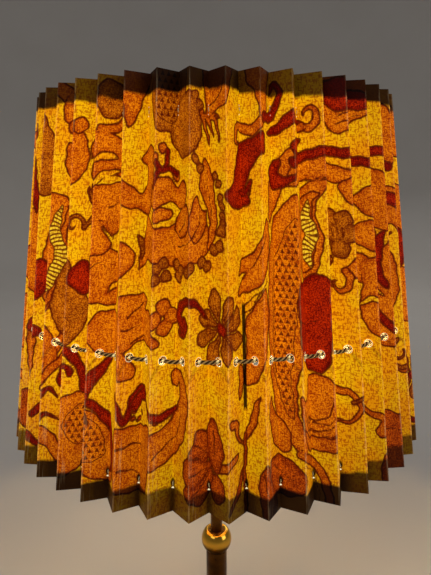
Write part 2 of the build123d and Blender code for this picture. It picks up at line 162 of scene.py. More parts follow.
class Graph:
    """A material's node tree with one Principled surface."""

    def __init__(self, name: str) -> None:
        """Starts a material of this name."""
        self.material = bpy.data.materials.new(name)
        self.material.use_nodes = True
        self.tree = self.material.node_tree
        self.tree.nodes.clear()
        self.surface = self.node("ShaderNodeBsdfPrincipled", {}, {})
        output = self.node("ShaderNodeOutputMaterial", {}, {})
        self.tree.links.new(self.surface.outputs[0], output.inputs[0])

    def node(self, kind: str, settings: dict, inputs: dict) -> bpy.types.Node:
        """Adds a node.

        Args:
            kind: The node's type.
            settings: Its properties, set before its sockets.
            inputs: Values or links by socket name or number.

        Returns:
            The node.
        """
        made = self.tree.nodes.new(kind)
        for key, value in settings.items():
            setattr(made, key, value)
        for key, value in inputs.items():
            self.feed(made.inputs[key], value)
        return made

    def feed(self, socket: bpy.types.NodeSocket, value: object) -> None:
        """Links or sets one input socket."""
        if isinstance(value, Value):
            self.tree.links.new(value.socket, socket)
        elif isinstance(value, bpy.types.NodeSocket):
            self.tree.links.new(value, socket)
        else:
            socket.default_value = value

    def finish(self, **sockets: object) -> bpy.types.Material:
        """Feeds the surface's sockets, named with underscores, and returns the material."""
        for key, value in sockets.items():
            self.feed(self.surface.inputs[key.replace("_", " ")], value)
        return self.material

    def object_point(self) -> bpy.types.NodeSocket:
        """Place on the piece in metres."""
        return self.node("ShaderNodeTexCoord", {}, {}).outputs["Object"]

    def parts(self, vector: bpy.types.NodeSocket) -> tuple[Value, Value, Value]:
        """A vector's three numbers."""
        split = self.node("ShaderNodeSeparateXYZ", {}, {0: vector})
        return tuple(Value(self, split.outputs[i]) for i in range(3))

    def attribute(self, name: str) -> tuple[Value, Value, Value]:
        """Three numbers that the mesh holds under a name."""
        found = self.node("ShaderNodeAttribute", {"attribute_name": name}, {})
        return self.parts(found.outputs["Vector"])

    def vector(self, *numbers: "Value | float") -> bpy.types.NodeSocket:
        """A vector from three numbers."""
        return self.node("ShaderNodeCombineXYZ", {}, dict(enumerate(numbers))).outputs[0]

    def noise(self, place: bpy.types.NodeSocket, scale: float, detail: float = 3.0) -> Value:
        """Cloudy noise from 0 to 1.

        Args:
            place: Where it is read.
            scale: Size factor, larger for finer noise.
            detail: Number of finer layers.

        Returns:
            The noise.
        """
        made = self.node("ShaderNodeTexNoise", {}, {"Vector": place, "Scale": scale, "Detail": detail})
        return Value(self, made.outputs[0])

    def stretched(
        self, place: bpy.types.NodeSocket, scale: tuple[float, float, float]
    ) -> bpy.types.NodeSocket:
        """A place with each direction scaled."""
        made = self.node("ShaderNodeVectorMath", {"operation": "MULTIPLY"}, {0: place, 1: scale})
        return made.outputs[0]

    def mix(self, share: "Value | float", first: object, second: object) -> bpy.types.NodeSocket:
        """Mixes two colours.

        Args:
            share: How much of the second colour shows.
            first: Colour or socket.
            second: Colour or socket.

        Returns:
            The mixed colour.
        """
        made = self.node("ShaderNodeMix", {"data_type": "RGBA"}, {0: share, 6: first, 7: second})
        return made.outputs[2]

    def scaled(self, colour: object, by: "Value | float") -> bpy.types.NodeSocket:
        """A colour made brighter or darker by a factor."""
        made = self.node("ShaderNodeVectorMath", {"operation": "SCALE"}, {0: colour, 3: by})
        return made.outputs[0]

    def bump(self, height: Value, strength: float, depth: float) -> bpy.types.NodeSocket:
        """A normal from a height.

        Args:
            height: Height from 0 to 1.
            strength: How strongly it tilts the surface.
            depth: Real height in metres.

        Returns:
            The normal.
        """
        made = self.node("ShaderNodeBump", {}, {"Height": height, "Strength": strength, "Distance": depth})
        return made.outputs[0]


# ---------------------------------------------------------------- finishes


@dataclass(frozen=True)
class Metal:
    """Brass, steel or iron with tarnish clouds, fine scratches and fingermarks."""

    name: str
    bright: Colour
    dull: Colour
    roughness: float = 0.25
    tarnish: float = 0.5
    brushed: tuple[float, float, float] = (60.0, 60.0, 900.0)
    grain: float = 0.15

    def make(self) -> bpy.types.Material:
        """Builds the material."""
        graph = Graph(self.name)
        place = graph.object_point()
        clouds = graph.noise(place, 38.0, 5.0).ramp(0.42, 0.66)
        specks = graph.noise(place, 420.0, 2.0).ramp(0.62, 0.74)
        lines = graph.noise(graph.stretched(place, self.brushed), 1.0, 2.0)
        worn = (clouds * self.tarnish + specks * 0.35).within()
        return graph.finish(
            Base_Color=graph.mix(worn, self.bright, self.dull),
            Metallic=1.0,
            Roughness=(worn * 0.22 + lines * 0.10 + (self.roughness - 0.05)).within(),
            Normal=graph.bump(lines * 0.6 + specks * 0.4, self.grain, 0.0001),
        )


@dataclass(frozen=True)
class PolishedBall:
    """Polished brass with painted shade on its lower half, which stands in for the dark room that it
    reflects, and some tarnish clouds.
    """

    name: str = "polished_brass"
    middle: float = 0.148  # height of the ball's centre in metres
    bright: Colour = tone(240, 182, 62)
    shade_and_tarnish_brown: Colour = tone(92, 62, 22)

    def make(self) -> bpy.types.Material:
        """Builds the material."""
        graph = Graph(self.name)
        place = graph.object_point()
        _, _, height = graph.parts(place)
        clouds = graph.noise(place, 90.0, 4.0)
        # Painted shade: below the ball's centre the colour turns to the shaded brown and the metal grows
        # rougher; the clouds add real tarnish.
        under = ((height - self.middle) * 1000 + (clouds - 0.5) * 5.0).ramp(1.0, -5.0)
        browned = (under * 0.9 + clouds.ramp(0.5, 0.75) * 0.25).within()
        return graph.finish(
            Base_Color=graph.mix(browned, self.bright, self.shade_and_tarnish_brown),
            Metallic=1.0,
            Roughness=(under * 0.2 + clouds * 0.08 + 0.08).within(),
            Normal=graph.bump(clouds, 0.05, 0.0001),
        )


@dataclass(frozen=True)
class Moulded:
    """Porcelain, rubber or glass paste: a fine-grained body under a smooth skin."""

    name: str
    body: Colour
    shade: Colour
    roughness: float
    coat: float = 0.0

    def make(self) -> bpy.types.Material:
        """Builds the material."""
        graph = Graph(self.name)
        place = graph.object_point()
        mottle = graph.noise(place, 160.0, 4.0)
        fine = graph.noise(place, 900.0, 2.0)
        return graph.finish(
            Base_Color=graph.mix(mottle.ramp(0.4, 0.7), self.body, self.shade),
            Roughness=(mottle * 0.15 + (self.roughness - 0.07)).within(),
            Coat_Weight=self.coat,
            Normal=graph.bump(fine, 0.12, 0.0001),
        )


@dataclass(frozen=True)
class DippedWire:
    """Frame wire dipped in white plastic, slightly yellowed by the lamp's heat."""

    name: str = "dipped_wire"

    def make(self) -> bpy.types.Material:
        """Builds the material."""
        graph = Graph(self.name)
        place = graph.object_point()
        aged = graph.noise(place, 30.0, 4.0).ramp(0.35, 0.7)
        drips = graph.noise(place, 350.0, 3.0)
        return graph.finish(
            Base_Color=graph.mix(aged, tone(226, 220, 202), tone(196, 178, 140)),
            Roughness=(drips * 0.2 + 0.32).within(),
            Normal=graph.bump(drips, 0.2, 0.0002),
        )


@dataclass(frozen=True)
class Felt:
    """Dense wool felt."""

    name: str = "wool_felt"

    def make(self) -> bpy.types.Material:
        """Builds the material."""
        graph = Graph(self.name)
        place = graph.object_point()
        fibres = graph.noise(graph.stretched(place, (900.0, 300.0, 900.0)), 1.0, 5.0)
        return graph.finish(
            Base_Color=graph.mix(fibres.ramp(0.35, 0.7), tone(22, 46, 34), tone(48, 80, 60)),
            Roughness=(fibres * 0.1 + 0.88).within(),
            Normal=graph.bump(fibres, 0.6, 0.0004),
        )


@dataclass(frozen=True)
class LitGlass:
    """Clear bulb glass, veiled by the light inside it."""

    name: str
    tint: Colour
    glow: float
    veil: float

    def make(self) -> bpy.types.Material:
        """Builds the material."""
        graph = Graph(self.name)
        place = graph.object_point()
        haze = graph.noise(place, 55.0, 4.0)
        return graph.finish(
            Base_Color=graph.mix(haze.ramp(0.3, 0.8), self.tint, tone(64, 52, 34)),
            Roughness=(haze * 0.08 + 0.03).within(),
            Alpha=(haze * 0.12 + self.veil).within(),
            Emission_Color=graph.mix(haze.ramp(0.3, 0.8), tone(255, 206, 120), tone(255, 236, 186)),
            Emission_Strength=self.glow,
        )


@dataclass(frozen=True)
class Filament:
    """Glowing filament stick, hotter in its middle stretches."""

    name: str = "filament_glow"

    def make(self) -> bpy.types.Material:
        """Builds the material."""
        graph = Graph(self.name)
        beads = graph.noise(graph.object_point(), 700.0, 1.0).ramp(0.35, 0.65)
        return graph.finish(
            Base_Color=graph.mix(beads, tone(240, 190, 90), tone(255, 225, 150)),
            Roughness=(beads * 0.2 + 0.4).within(),
            Emission_Color=graph.mix(beads, tone(255, 176, 70), tone(255, 226, 150)),
            Emission_Strength=5.5,
        )


@dataclass(frozen=True)
class Backing:
    """Stiff cream backing of the cloth, lit from the bulb's side and browned near the heat."""

    name: str = "cream_backing"

    def make(self) -> bpy.types.Material:
        """Builds the material."""
        graph = Graph(self.name)
        place = graph.object_point()
        pulp = graph.noise(place, 420.0, 4.0)
        stain = graph.noise(place, 16.0, 3.0).ramp(0.4, 0.75)
        return graph.finish(
            Base_Color=graph.mix(stain, tone(186, 168, 130), tone(160, 132, 88)),
            Roughness=(pulp * 0.2 + 0.6).within(),
            Normal=graph.bump(pulp, 0.15, 0.0002),
        )


@dataclass(frozen=True)
class Linen:
    """Slubby linen weave, as shared by the printed cloth and its turned-in hems."""

    pitch: float = 0.62  # thread spacing in millimetres

    def weave(self, graph: Graph, across: Value, up: Value) -> tuple[Value, Value, Value]:
        """Threads and slubs of the cloth.

        Args:
            graph: The material's graph.
            across: Place along the cloth in millimetres.
            up: Place up the cloth in millimetres.

        Returns:
            Thread height from 0 to 1, slub mask, and slow colour drift.
        """
        flat = graph.vector(across, up, 0.0)
        drift = graph.noise(flat, 0.05, 3.0)
        bend = graph.noise(flat, 0.35, 2.0) * 1.4
        warp = ((across + bend) * (2 * pi / self.pitch)).sine()
        weft = ((up + bend) * (2 * pi / self.pitch)).sine()
        thread = (warp * weft * 0.5 + 0.5).within()
        tall = graph.noise(graph.stretched(flat, (1.15, 0.38, 1.0)), 1.0, 2.0)
        wide = graph.noise(graph.stretched(flat, (0.40, 1.20, 1.0)), 1.0, 2.0)
        slubs = (tall.ramp(0.51, 0.60) * 0.95 + wide.ramp(0.53, 0.62) * 0.85).within()
        return thread, slubs, drift


@dataclass(frozen=True)
class Ink:
    """A dye: with light behind it, where it lies thickest, and by the room's light alone."""

    lit: Colour
    deep: Colour
    dry: Colour
    rim: float = 0.5


@dataclass(frozen=True)
class PrintedLinen:
    """Printed cloth with the lamp's light coming through it.

    Light and dye are kept apart: the colour that shines through is the emission, the colour
    that the room's light shows is the base. Hems hold several layers, so no light passes there.
    """

    name: str = "printed_linen"
    linen: Linen = Linen()
    height: float = 235.0  # of the shade, in millimetres
    top_hem: float = 11.0
    bottom_hem: float = 12.0
    face: float = 15.0
    hole: tuple[float, float] = (7.2, 84.0)  # from the ridge, and up the cloth
    rings: tuple[float, float] = (15.0, 215.0)
    outline: float = 0.56  # half width of a printed outline
    orange: Ink = Ink(tone(255, 140, 6), tone(188, 72, 0), tone(66, 28, 6), 0.45)
    olive: Ink = Ink(tone(226, 122, 8), tone(140, 58, 0), tone(56, 30, 7), 0.5)
    umber: Ink = Ink(tone(236, 100, 6), tone(148, 46, 0), tone(42, 17, 6), 0.5)
    red: Ink = Ink(tone(200, 44, 0), tone(112, 6, 0), tone(62, 9, 5), 0.6)
    line_lit: Colour = tone(108, 28, 0)
    line_dry: Colour = tone(26, 9, 5)

    def inside(self, depth: Value) -> Value:
        """Mask of a printed shape from its signed distance."""
        return depth.ramp(0.22, -0.22)

    def stamp(self, graph: Graph, coats: tuple, mark: Value) -> tuple:
        """Both colours with the outline's ink where the mark is."""
        return graph.mix(mark, coats[0], self.line_lit), graph.mix(mark, coats[1], self.line_dry)

    def edge(self, depth: Value, wide: float) -> Value:
        """Mask of a line of half width wide along a shape's edge."""
        return abs(depth).ramp(wide + 0.28, wide - 0.28)

    def lay(self, graph: Graph, coats: tuple, depth: Value, ink: Ink, thick: Value) -> tuple:
        """Lays one dye over what is printed so far.

        Args:
            graph: The material's graph.
            coats: Colour with light behind and colour by room light, as printed so far.
            depth: Signed distance to the dye's edge.
            ink: The dye.
            thick: How thickly it lies, from 0 to 1.

        Returns:
            Both colours with the dye and its outline on top.
        """
        shine, body = coats
        share = (thick + depth.ramp(-3.2, -0.3) * ink.rim).within()
        shape, mark = self.inside(depth), self.edge(depth, self.outline)
        shine = graph.mix(shape, shine, graph.mix(share, ink.lit, ink.deep))
        shine = graph.mix(mark * 0.94, shine, self.line_lit)
        return shine, graph.mix(mark, graph.mix(shape, body, ink.dry), self.line_dry)

    def triangles(self, across: Value, up: Value, area: Value) -> Value:
        """Rows of small upright triangles inside an area, every other row set half a step aside.

        Args:
            across: Place along the cloth in millimetres.
            up: Place up the cloth in millimetres.
            area: Signed distance to the area's edge.

        Returns:
            The mask from 0 to 1.
        """
        step, row = 4.0, 3.4
        tier = up / row
        rise = tier - tier.whole()
        aside = (across + tier.whole().remainder(2.0) * (step / 2)).wave(step) / step
        side = (aside - (0.92 - rise) * 0.46).ramp(0.05, -0.05)
        return side * rise.ramp(0.10, 0.20) * area.ramp(-0.5, -1.2)

    def make(self) -> bpy.types.Material:
        """Builds the material."""
        graph = Graph(self.name)
        across, up, reach = graph.attribute("cloth")
        low, high, red = graph.attribute("dye_a")
        olive, umber, line = graph.attribute("dye_b")
        lattice, ladder, along = graph.attribute("fill")
        thread, slubs, drift = self.linen.weave(graph, across, up)
        flat = graph.vector(across, up, 0.0)
        wobble = (graph.noise(flat, 0.55, 2.0) - 0.5) * 0.7
        low, high, red, olive, umber, line = (
            each + wobble for each in (low, high, red, olive, umber, line)
        )
        blotch = graph.noise(flat, 0.10, 2.0).ramp(0.40, 0.68) * 0.36
        grain = graph.noise(flat, 1.25, 2.0).ramp(0.44, 0.57) * 0.70
        thick = (grain + blotch).within()

        shine = graph.mix(drift.ramp(0.35, 0.65), tone(255, 186, 4), tone(255, 160, 2))
        body = graph.mix(drift.ramp(0.35, 0.65), tone(76, 44, 10), tone(64, 34, 8))
        coats = (shine, body)
        for depth, ink in ((low, self.orange), (high, self.orange), (olive, self.olive),
                           (umber, self.umber)):
            coats = self.lay(graph, coats, depth, ink, thick)
        shine, body = coats
        dots = (self.triangles(across, up, lattice) + self.edge(lattice, 0.32)).within()
        shine = graph.mix(ladder.ramp(0.25, -0.25), shine, tone(255, 204, 40))
        rungs = along.wave(2.3).ramp(0.66, 0.38) * ladder.ramp(0.2, -0.3)
        marks = (dots + rungs + self.edge(ladder, 0.4)).within() * 0.9
        coats = self.lay(graph, self.stamp(graph, (shine, body), marks), red, self.red, thick)
        shine, body = self.stamp(graph, coats, line.ramp(0.3, -0.15) * 0.92)
        shine = graph.mix(slubs, shine, graph.stretched(shine, (0.54, 0.33, 0.2)))

        side, luck, _ = graph.attribute("facet")
        lit = self.light(across, up, reach, thread, drift, luck)
        # Painted light: faces on one side of each ridge come out brighter, each face takes a random
        # brightness, and on each face the light shifts by up to a tenth towards the valley, darker on one
        # side and brighter on the other.
        lit = lit * (side * 0.06 + luck * 0.13 + 0.94) * (side * reach.ramp(4.0, 15.0) * -0.10 + 1.0)
        # Pale streaks by the ridges: partly rubbed wear, partly painted sheen.
        rub_and_sheen = self.wear_and_sheen(graph, flat, up, reach, side)
        shine = graph.mix(rub_and_sheen * 0.2, shine, tone(255, 222, 140))
        body = graph.mix(rub_and_sheen * 0.5, graph.scaled(body, thread * 0.3 + 0.62), tone(178, 158, 122))
        leak = self.pinholes(up, reach)
        return graph.finish(
            Base_Color=body,
            Roughness=(thread * 0.15 + 0.50).within(),
            Specular_IOR_Level=0.08,
            Emission_Color=graph.mix(leak, graph.scaled(shine, lit), tone(255, 240, 190)),
            Emission_Strength=1.0,
            Normal=graph.bump(thread * 0.6 + slubs * 0.5, 0.35, 0.0002),
        )

    def light(
        self, across: Value, up: Value, reach: Value, thread: Value, drift: Value, luck: Value
    ) -> Value:
        """How much of the bulb's light comes through, from 0 to 1, with painted shadows and painted glow
        laid on it.

        Args:
            across: Place along the cloth in millimetres.
            up: Height on the cloth in millimetres.
            reach: Distance from the nearest ridge in millimetres.
            thread: Thread height of the weave.
            drift: Slow change in the cloth's density.
            luck: A random number for each face, from -0.5 to 0.5, that shifts its hem edge and sets its
                hem's painted brightness.

        Returns:
            The factor on the colour that shines through.
        """
        ragged = up + (drift - 0.5) * 7.0 + luck * 3.0
        top = ragged.ramp(self.height - self.top_hem - 1.6, self.height - self.top_hem + 1.0)
        bottom = ragged.ramp(self.bottom_hem + 1.6, self.bottom_hem - 1.0)
        bulb, rib_shadow_middle, stitch, cord_shadow_level = 145.0, 85.0, 16.2, 75.0
        # Painted light: the light through the cloth is brightest level with the bulb and fades above and
        # below it.
        near_bulb = abs(up - bulb).ramp(50.0, 160.0) * -0.40 + 0.94
        weave = thread * 0.16 + 0.90
        valley = reach.ramp(self.face - 3.0, self.face)
        valley_gap = self.face - reach
        # Painted shadows that darken the light coming through: a wedge in each valley just above the lower
        # hem, the top ring's shadow in each valley, and the lacing cord's shadow sloping down to each ridge.
        valley_wedge_shadow = reach.ramp(self.face - 4.0, self.face) * up.ramp(19.0, 9.0) * 0.8
        ring = abs(up - self.rings[1]).ramp(2.6, 0.8) * valley * 0.25
        cord_shadow = abs(up - cord_shadow_level - reach * 1.25).ramp(2.8, 0.0) * reach.ramp(8.0, 6.5) * 0.34
        # Painted glow: thin bright lines along each valley and each ridge.
        crease = (reach.ramp(self.face - 0.9, self.face - 0.2) * 0.20 + reach.ramp(0.8, 0.2) * 0.16)
        # Painted shadow of one frame rib: a dark bar in one valley.
        rib_shadow = abs(across - self.face - 0.3).ramp(1.8, 1.0) * abs(up - rib_shadow_middle).ramp(30.0, 27.0)
        # Painted glow round each lacing hole.
        hole = self.from_hole(up, reach).ramp(12.0, 6.5) * 0.5
        near_valley = reach.ramp(5.0, 14.0)
        # Each face's random number gives its hem its own painted brightness, and the hems are darker towards
        # each valley as painted shade.
        over = top * (luck * -0.10 + near_valley * 0.03 + 0.955)
        under = bottom * (luck * 0.22 + near_valley * 0.07 + 0.905)
        hem = (over + under).least(0.994)
        # Painted shadow just above each lower stitch, in its valley.
        above = up - stitch
        stitch_shade = (above * above * 0.5 + valley_gap * valley_gap).ramp(4.5, 0.8) * 0.85
        dark = (valley_wedge_shadow + ring + cord_shadow + stitch_shade + rib_shadow * 0.97).within()
        return (near_bulb * weave + crease + hole) * (1 - hem) * (1 - dark)

    def wear_and_sheen(self, graph: Graph, flat: bpy.types.NodeSocket, up: Value, reach: Value, side: Value) -> Value:
        """Pale streaks beside each ridge, stronger low down: rubbed wear, with painted sheen on one side of
        each ridge and painted highlights along the ridges near the top.

        Args:
            graph: The material's graph.
            flat: Place on the flat cloth.
            up: Height on the cloth in millimetres.
            reach: Distance from the nearest ridge in millimetres.
            side: Which side of the ridge the face is on, 1 or -1.

        Returns:
            The mask of wear and painted sheen, from 0 to 1.
        """
        patchy = graph.noise(graph.stretched(flat, (0.9, 0.12, 1.0)), 1.0, 3.0).ramp(0.36, 0.66)
        streak = graph.noise(graph.stretched(flat, (0.9, 0.05, 1.0)), 1.0, 2.0).ramp(0.48, 0.72)
        # Painted sheen on one side of each ridge, low down.
        beside = abs(reach - 2.6).ramp(4.0, 1.0) * streak * side.within() * up.ramp(110.0, 15.0) * 0.55
        by_height = up.ramp(150.0, 20.0) * 0.7 + up.ramp(190.0, 230.0) * 0.6 + 0.2
        near = reach.ramp(1.2, 0.2) * patchy * by_height
        return near.most(beside)

    def from_hole(self, up: Value, reach: Value) -> Value:
        """Square of the distance from the nearest lacing hole's centre."""
        aside, above = reach - self.hole[0], up - self.hole[1]
        return above * above + aside * aside

    def pinholes(self, up: Value, reach: Value) -> Value:
        """Bare light in the needle holes at both wire rings, and round each lacing hole."""
        side = self.face - reach
        low, high = abs(abs(up - self.rings[0]) - 1.9), abs(abs(up - self.rings[1]) - 2.4)
        needle = (low * low * 2.2 + side * side * 0.5).ramp(0.60, 0.25) * up.ramp(15.2, 14.6)
        fine = (high * high + side * side).ramp(0.16, 0.04) * 0.5
        eyelet = self.from_hole(up, reach).ramp(6.6, 5.4) * 0.9
        return needle.most(fine).most(eyelet)


@dataclass(frozen=True)
class HemCloth:
    """Back of the printed cloth where it is turned in."""

    name: str = "hem_cloth"
    linen: Linen = Linen()

    def make(self) -> bpy.types.Material:
        """Builds the material."""
        graph = Graph(self.name)
        across, up, _ = graph.attribute("cloth")
        thread, slubs, drift = self.linen.weave(graph, across, up)
        show = graph.noise(graph.vector(across, up, 0.0), 0.06, 3.0).ramp(0.46, 0.60)
        plain = graph.mix(drift.ramp(0.3, 0.7), tone(124, 92, 44), tone(102, 70, 30))
        dyed = graph.mix(show * 0.7, plain, tone(92, 50, 18))
        return graph.finish(
            Base_Color=graph.mix(slubs * 0.4, dyed, tone(70, 46, 20)),
            Roughness=(thread * 0.1 + 0.84).within(),
            Normal=graph.bump(thread * 0.6 + slubs * 0.5, 0.35, 0.0002),
        )


@dataclass(frozen=True)
class TwistedCord:
    """Cotton cord: painted shade in the grooves between its strands, and painted glow where the lamp's light
    catches it at the holes.
    """

    name: str = "twisted_cord"

    def make(self) -> bpy.types.Material:
        """Builds the material."""
        graph = Graph(self.name)
        along, exposed, near = graph.attribute("yarn")
        # Painted shade in the grooves between the strands, and painted glow near each hole, where the groove
        # shade is also weaker.
        groove, lit = exposed.ramp(0.94, 0.55), near.ramp(0.45, 1.0)
        lay = ((along * 5.2 + exposed * 3.0).sine() * 0.5 + 0.5).within()
        fluff = graph.noise(graph.object_point(), 1500.0, 3.0)
        plain = graph.mix(fluff, tone(232, 196, 112), tone(196, 146, 62))
        return graph.finish(
            Base_Color=graph.mix(groove * 0.95, plain, tone(44, 24, 5)),
            Roughness=(fluff * 0.1 + 0.82).within(),
            Emission_Color=graph.scaled(
                graph.mix(groove * (1 - lit * 0.7), tone(255, 236, 166), tone(120, 64, 10)),
                lit * 0.9 + 0.05,
            ),
            Emission_Strength=1.0,
            Normal=graph.bump(lay * 0.7 + fluff * 0.3, 0.5, 0.0002),
        )


@dataclass(frozen=True)
class Thread:
    """Buttonhole thread of the stitches, with a faint painted glow."""

    name: str = "sewing_thread"

    def make(self) -> bpy.types.Material:
        """Builds the material."""
        graph = Graph(self.name)
        fluff = graph.noise(graph.object_point(), 1800.0, 2.0)
        return graph.finish(
            Base_Color=graph.mix(fluff, tone(236, 222, 180), tone(196, 170, 118)),
            Roughness=(fluff * 0.1 + 0.72).within(),
            # Painted glow: the thread shines faintly, as if lit by the lamp's light coming out round the
            # stitches.
            Emission_Color=graph.mix(fluff, tone(255, 232, 170), tone(230, 180, 100)),
            Emission_Strength=0.16,
            Normal=graph.bump(fluff, 0.4, 0.0001),
        )


# ---------------------------------------------------------------- meshes


def sweep_mesh(name: str, grid: np.ndarray, closed_rows: bool, closed_columns: bool) -> bpy.types.Mesh:
    """A mesh of quads from a grid of points.

    Args:
        name: The mesh's name.
        grid: Array of shape (rows, columns, 3), in metres.
        closed_rows: Whether the last row joins the first.
        closed_columns: Whether the last column joins the first.

    Returns:
        The mesh, with its faces on the side that row cross column points to.
    """
    rows, columns = grid.shape[:2]
    numbers = np.arange(rows * columns).reshape(rows, columns)
    if closed_rows:
        numbers = np.vstack([numbers, numbers[:1]])
    if closed_columns:
        numbers = np.hstack([numbers, numbers[:, :1]])
    quads = np.stack(
        [numbers[:-1, :-1], numbers[:-1, 1:], numbers[1:, 1:], numbers[1:, :-1]], axis=-1
    ).reshape(-1, 4)
    mesh = bpy.data.meshes.new(name)
    mesh.from_pydata(grid.reshape(-1, 3).tolist(), [], quads.tolist())
    mesh.update()
    return mesh


def tube_set(name: str, tubes: np.ndarray, flipped: bool = False) -> bpy.types.Mesh:
    """One mesh of closed tubes that have the same number of stations and sides.

    Args:
        name: The mesh's name.
        tubes: Points by tube, station and side, in metres.
        flipped: Whether the faces turn the other way.

    Returns:
        The mesh.
    """
    first = sweep_mesh(name, tubes[0], True, True)
    quads = np.array([list(face.vertices) for face in first.polygons])
    bpy.data.meshes.remove(first)
    quads = quads[:, ::-1] if flipped else quads
    size = tubes.shape[1] * tubes.shape[2]
    faces = np.concatenate([quads + number * size for number in range(len(tubes))])
    mesh = bpy.data.meshes.new(name)
    mesh.from_pydata(tubes.reshape(-1, 3).tolist(), [], faces.tolist())
    mesh.update()
    return mesh


def place(name: str, mesh: bpy.types.Mesh, material: bpy.types.Material, smooth: bool) -> bpy.types.Object:
    """Puts a mesh in the scene.

    Args:
        name: The object's name.
        mesh: Its mesh, already in its place.
        material: Its finish.
        smooth: Whether its faces are shaded smooth.

    Returns:
        The object.
    """
    mesh.polygons.foreach_set("use_smooth", np.full(len(mesh.polygons), smooth))
    mesh.materials.append(material)
    piece = bpy.data.objects.new(name, mesh)
    bpy.context.scene.collection.objects.link(piece)
    return piece


def store(mesh: bpy.types.Mesh, name: str, *columns: np.ndarray, domain: str = "POINT") -> None:
    """Keeps three numbers for each point or face of a mesh under a name."""
    data = np.stack([column.ravel() for column in columns], axis=-1).astype(np.float32)
    mesh.attributes.new(name, "FLOAT_VECTOR", domain).data.foreach_set("vector", data.ravel())


def rounded(corners: list[tuple[float, float]], radius: float, steps: int = 4) -> np.ndarray:
    """Rounds each corner of a closed outline.

    Each corner is swapped for a quadratic curve that starts and ends a radius away from it, or
    at most 0.4 of the shorter side.

    Args:
        corners: Points of the outline.
        radius: How far from a corner the curve starts.
        steps: Pieces in each curve.

    Returns:
        The rounded outline as an array of points.
    """
    points = np.array(corners, float)
    before, after = np.roll(points, 1, axis=0) - points, np.roll(points, -1, axis=0) - points
    size_before = np.linalg.norm(before, axis=1, keepdims=True)
    size_after = np.linalg.norm(after, axis=1, keepdims=True)
    cut = np.minimum(radius, 0.4 * np.minimum(size_before, size_after))
    start, end = points + before / size_before * cut, points + after / size_after * cut
    u = np.linspace(0, 1, steps + 1)[None, :, None]
    curve = (1 - u) ** 2 * start[:, None] + 2 * u * (1 - u) * points[:, None] + u**2 * end[:, None]
    return curve.reshape(-1, 2)


def lathe(
    name: str, outline: np.ndarray, material: bpy.types.Material, segments: int = 128
) -> bpy.types.Object:
    """Turned piece: a closed outline of (radius, height) carried round the lamp's axis.

    Args:
        name: The piece's name.
        outline: Closed outline in millimetres, anticlockwise with the radius to the right.
        material: Its finish.
        segments: Steps round the axis.

    Returns:
        The piece.
    """
    turn = np.linspace(0, 2 * pi, segments, endpoint=False)[:, None]
    radius, height = outline[:, 0][None, :], outline[:, 1][None, :]
    grid = np.stack(
        [radius * np.cos(turn), radius * np.sin(turn), height + 0 * turn], axis=-1
    ) * MM
    mesh = sweep_mesh(name, grid, True, True)
    piece = place(name, mesh, material, True)
    mesh.set_sharp_from_angle(angle=radians(34))
    return piece


def turned(name: str, node: str, body: str, outline: np.ndarray, metal: bpy.types.Material) -> None:
    """Adds a turned piece that stands for a CAD node."""
    piece = lathe(name, outline, metal)
    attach(piece, body)
    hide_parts(node)
    LOG.info("%s: %d faces", name, len(piece.data.polygons))


def dress(node: str, material: bpy.types.Material) -> None:
    """Gives a CAD node its finish."""
    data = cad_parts[node].data
    data.materials.clear()
    data.materials.append(material)


def ring_of(node: str) -> tuple[float, float, float]:
    """Outer radius, lowest and highest point of a round CAD node, in millimetres."""
    low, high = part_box(node)
    return (high.x - low.x) / 2 / MM, low.z / MM, high.z / MM


# ---------------------------------------------------------------- the print


class Dye(Enum):
    """Colours of the print, in the order that they are laid down."""

    LOW = 0  # orange, underneath
    HIGH = 1  # orange, on top
    OLIVE = 2
    UMBER = 3
    RED = 4
    LINE = 5


class Taper(Enum):
    """How a stroke's width runs from its start to its end."""

    EVEN = "even"
    TAIL = "tail"
    LEAF = "leaf"
    CLUB = "club"


LOW, HIGH, OLIVE, UMBER, RED, LINE = Dye
EVEN, TAIL, LEAF, CLUB = Taper


def pairs(numbers: list[float]) -> np.ndarray:
    """Points from numbers given as s, t, s, t and so on."""
    return np.reshape(np.array(numbers, float), (-1, 2))


def smooth_path(points: np.ndarray, closed: bool, steps: int = 6) -> np.ndarray:
    """Catmull-Rom curve through points.

    Args:
        points: Points to pass through.
        closed: Whether the curve joins up.
        steps: Pieces between two points.

    Returns:
        The curve as an array of points.
    """
    p = points
    if closed:
        p = np.vstack([p[-1:], p, p[:2]])
    else:
        p = np.vstack([2 * p[:1] - p[1:2], p, 2 * p[-1:] - p[-2:-1]])
    u = (np.arange(steps) / steps)[None, :, None]
    a, b, c, d = (p[i : len(p) - 3 + i, None, :] for i in range(4))
    curve = 0.5 * (2 * b + (c - a) * u + (2 * a - 5 * b + 4 * c - d) * u**2 + (3 * b - a - 3 * c + d) * u**3)
    curve = curve.reshape(-1, 2)
    return curve if closed else np.vstack([curve, p[-2:-1]])


def nearest(places: np.ndarray, path: np.ndarray) -> tuple[np.ndarray, np.ndarray]:
    """Nearest point of a path for many places.

    Args:
        places: Array of shape (n, 2).
        path: Points of the path.

    Returns:
        Distance, and share of the path's length at the nearest point.
    """
    start, step = path[:-1], np.diff(path, axis=0)
    size = np.maximum((step**2).sum(1), 1e-9)
    away = places[:, None, :] - start[None]
    share = np.clip((away * step[None]).sum(-1) / size, 0, 1)
    gap = away - share[..., None] * step[None]
    distance = (gap**2).sum(-1)
    best = distance.argmin(1)
    rows = np.arange(len(places))
    length = np.concatenate([[0], np.cumsum(np.sqrt(size))])
    along = (length[best] + share[rows, best] * np.sqrt(size)[best]) / length[-1]
    return np.sqrt(distance[rows, best]), along


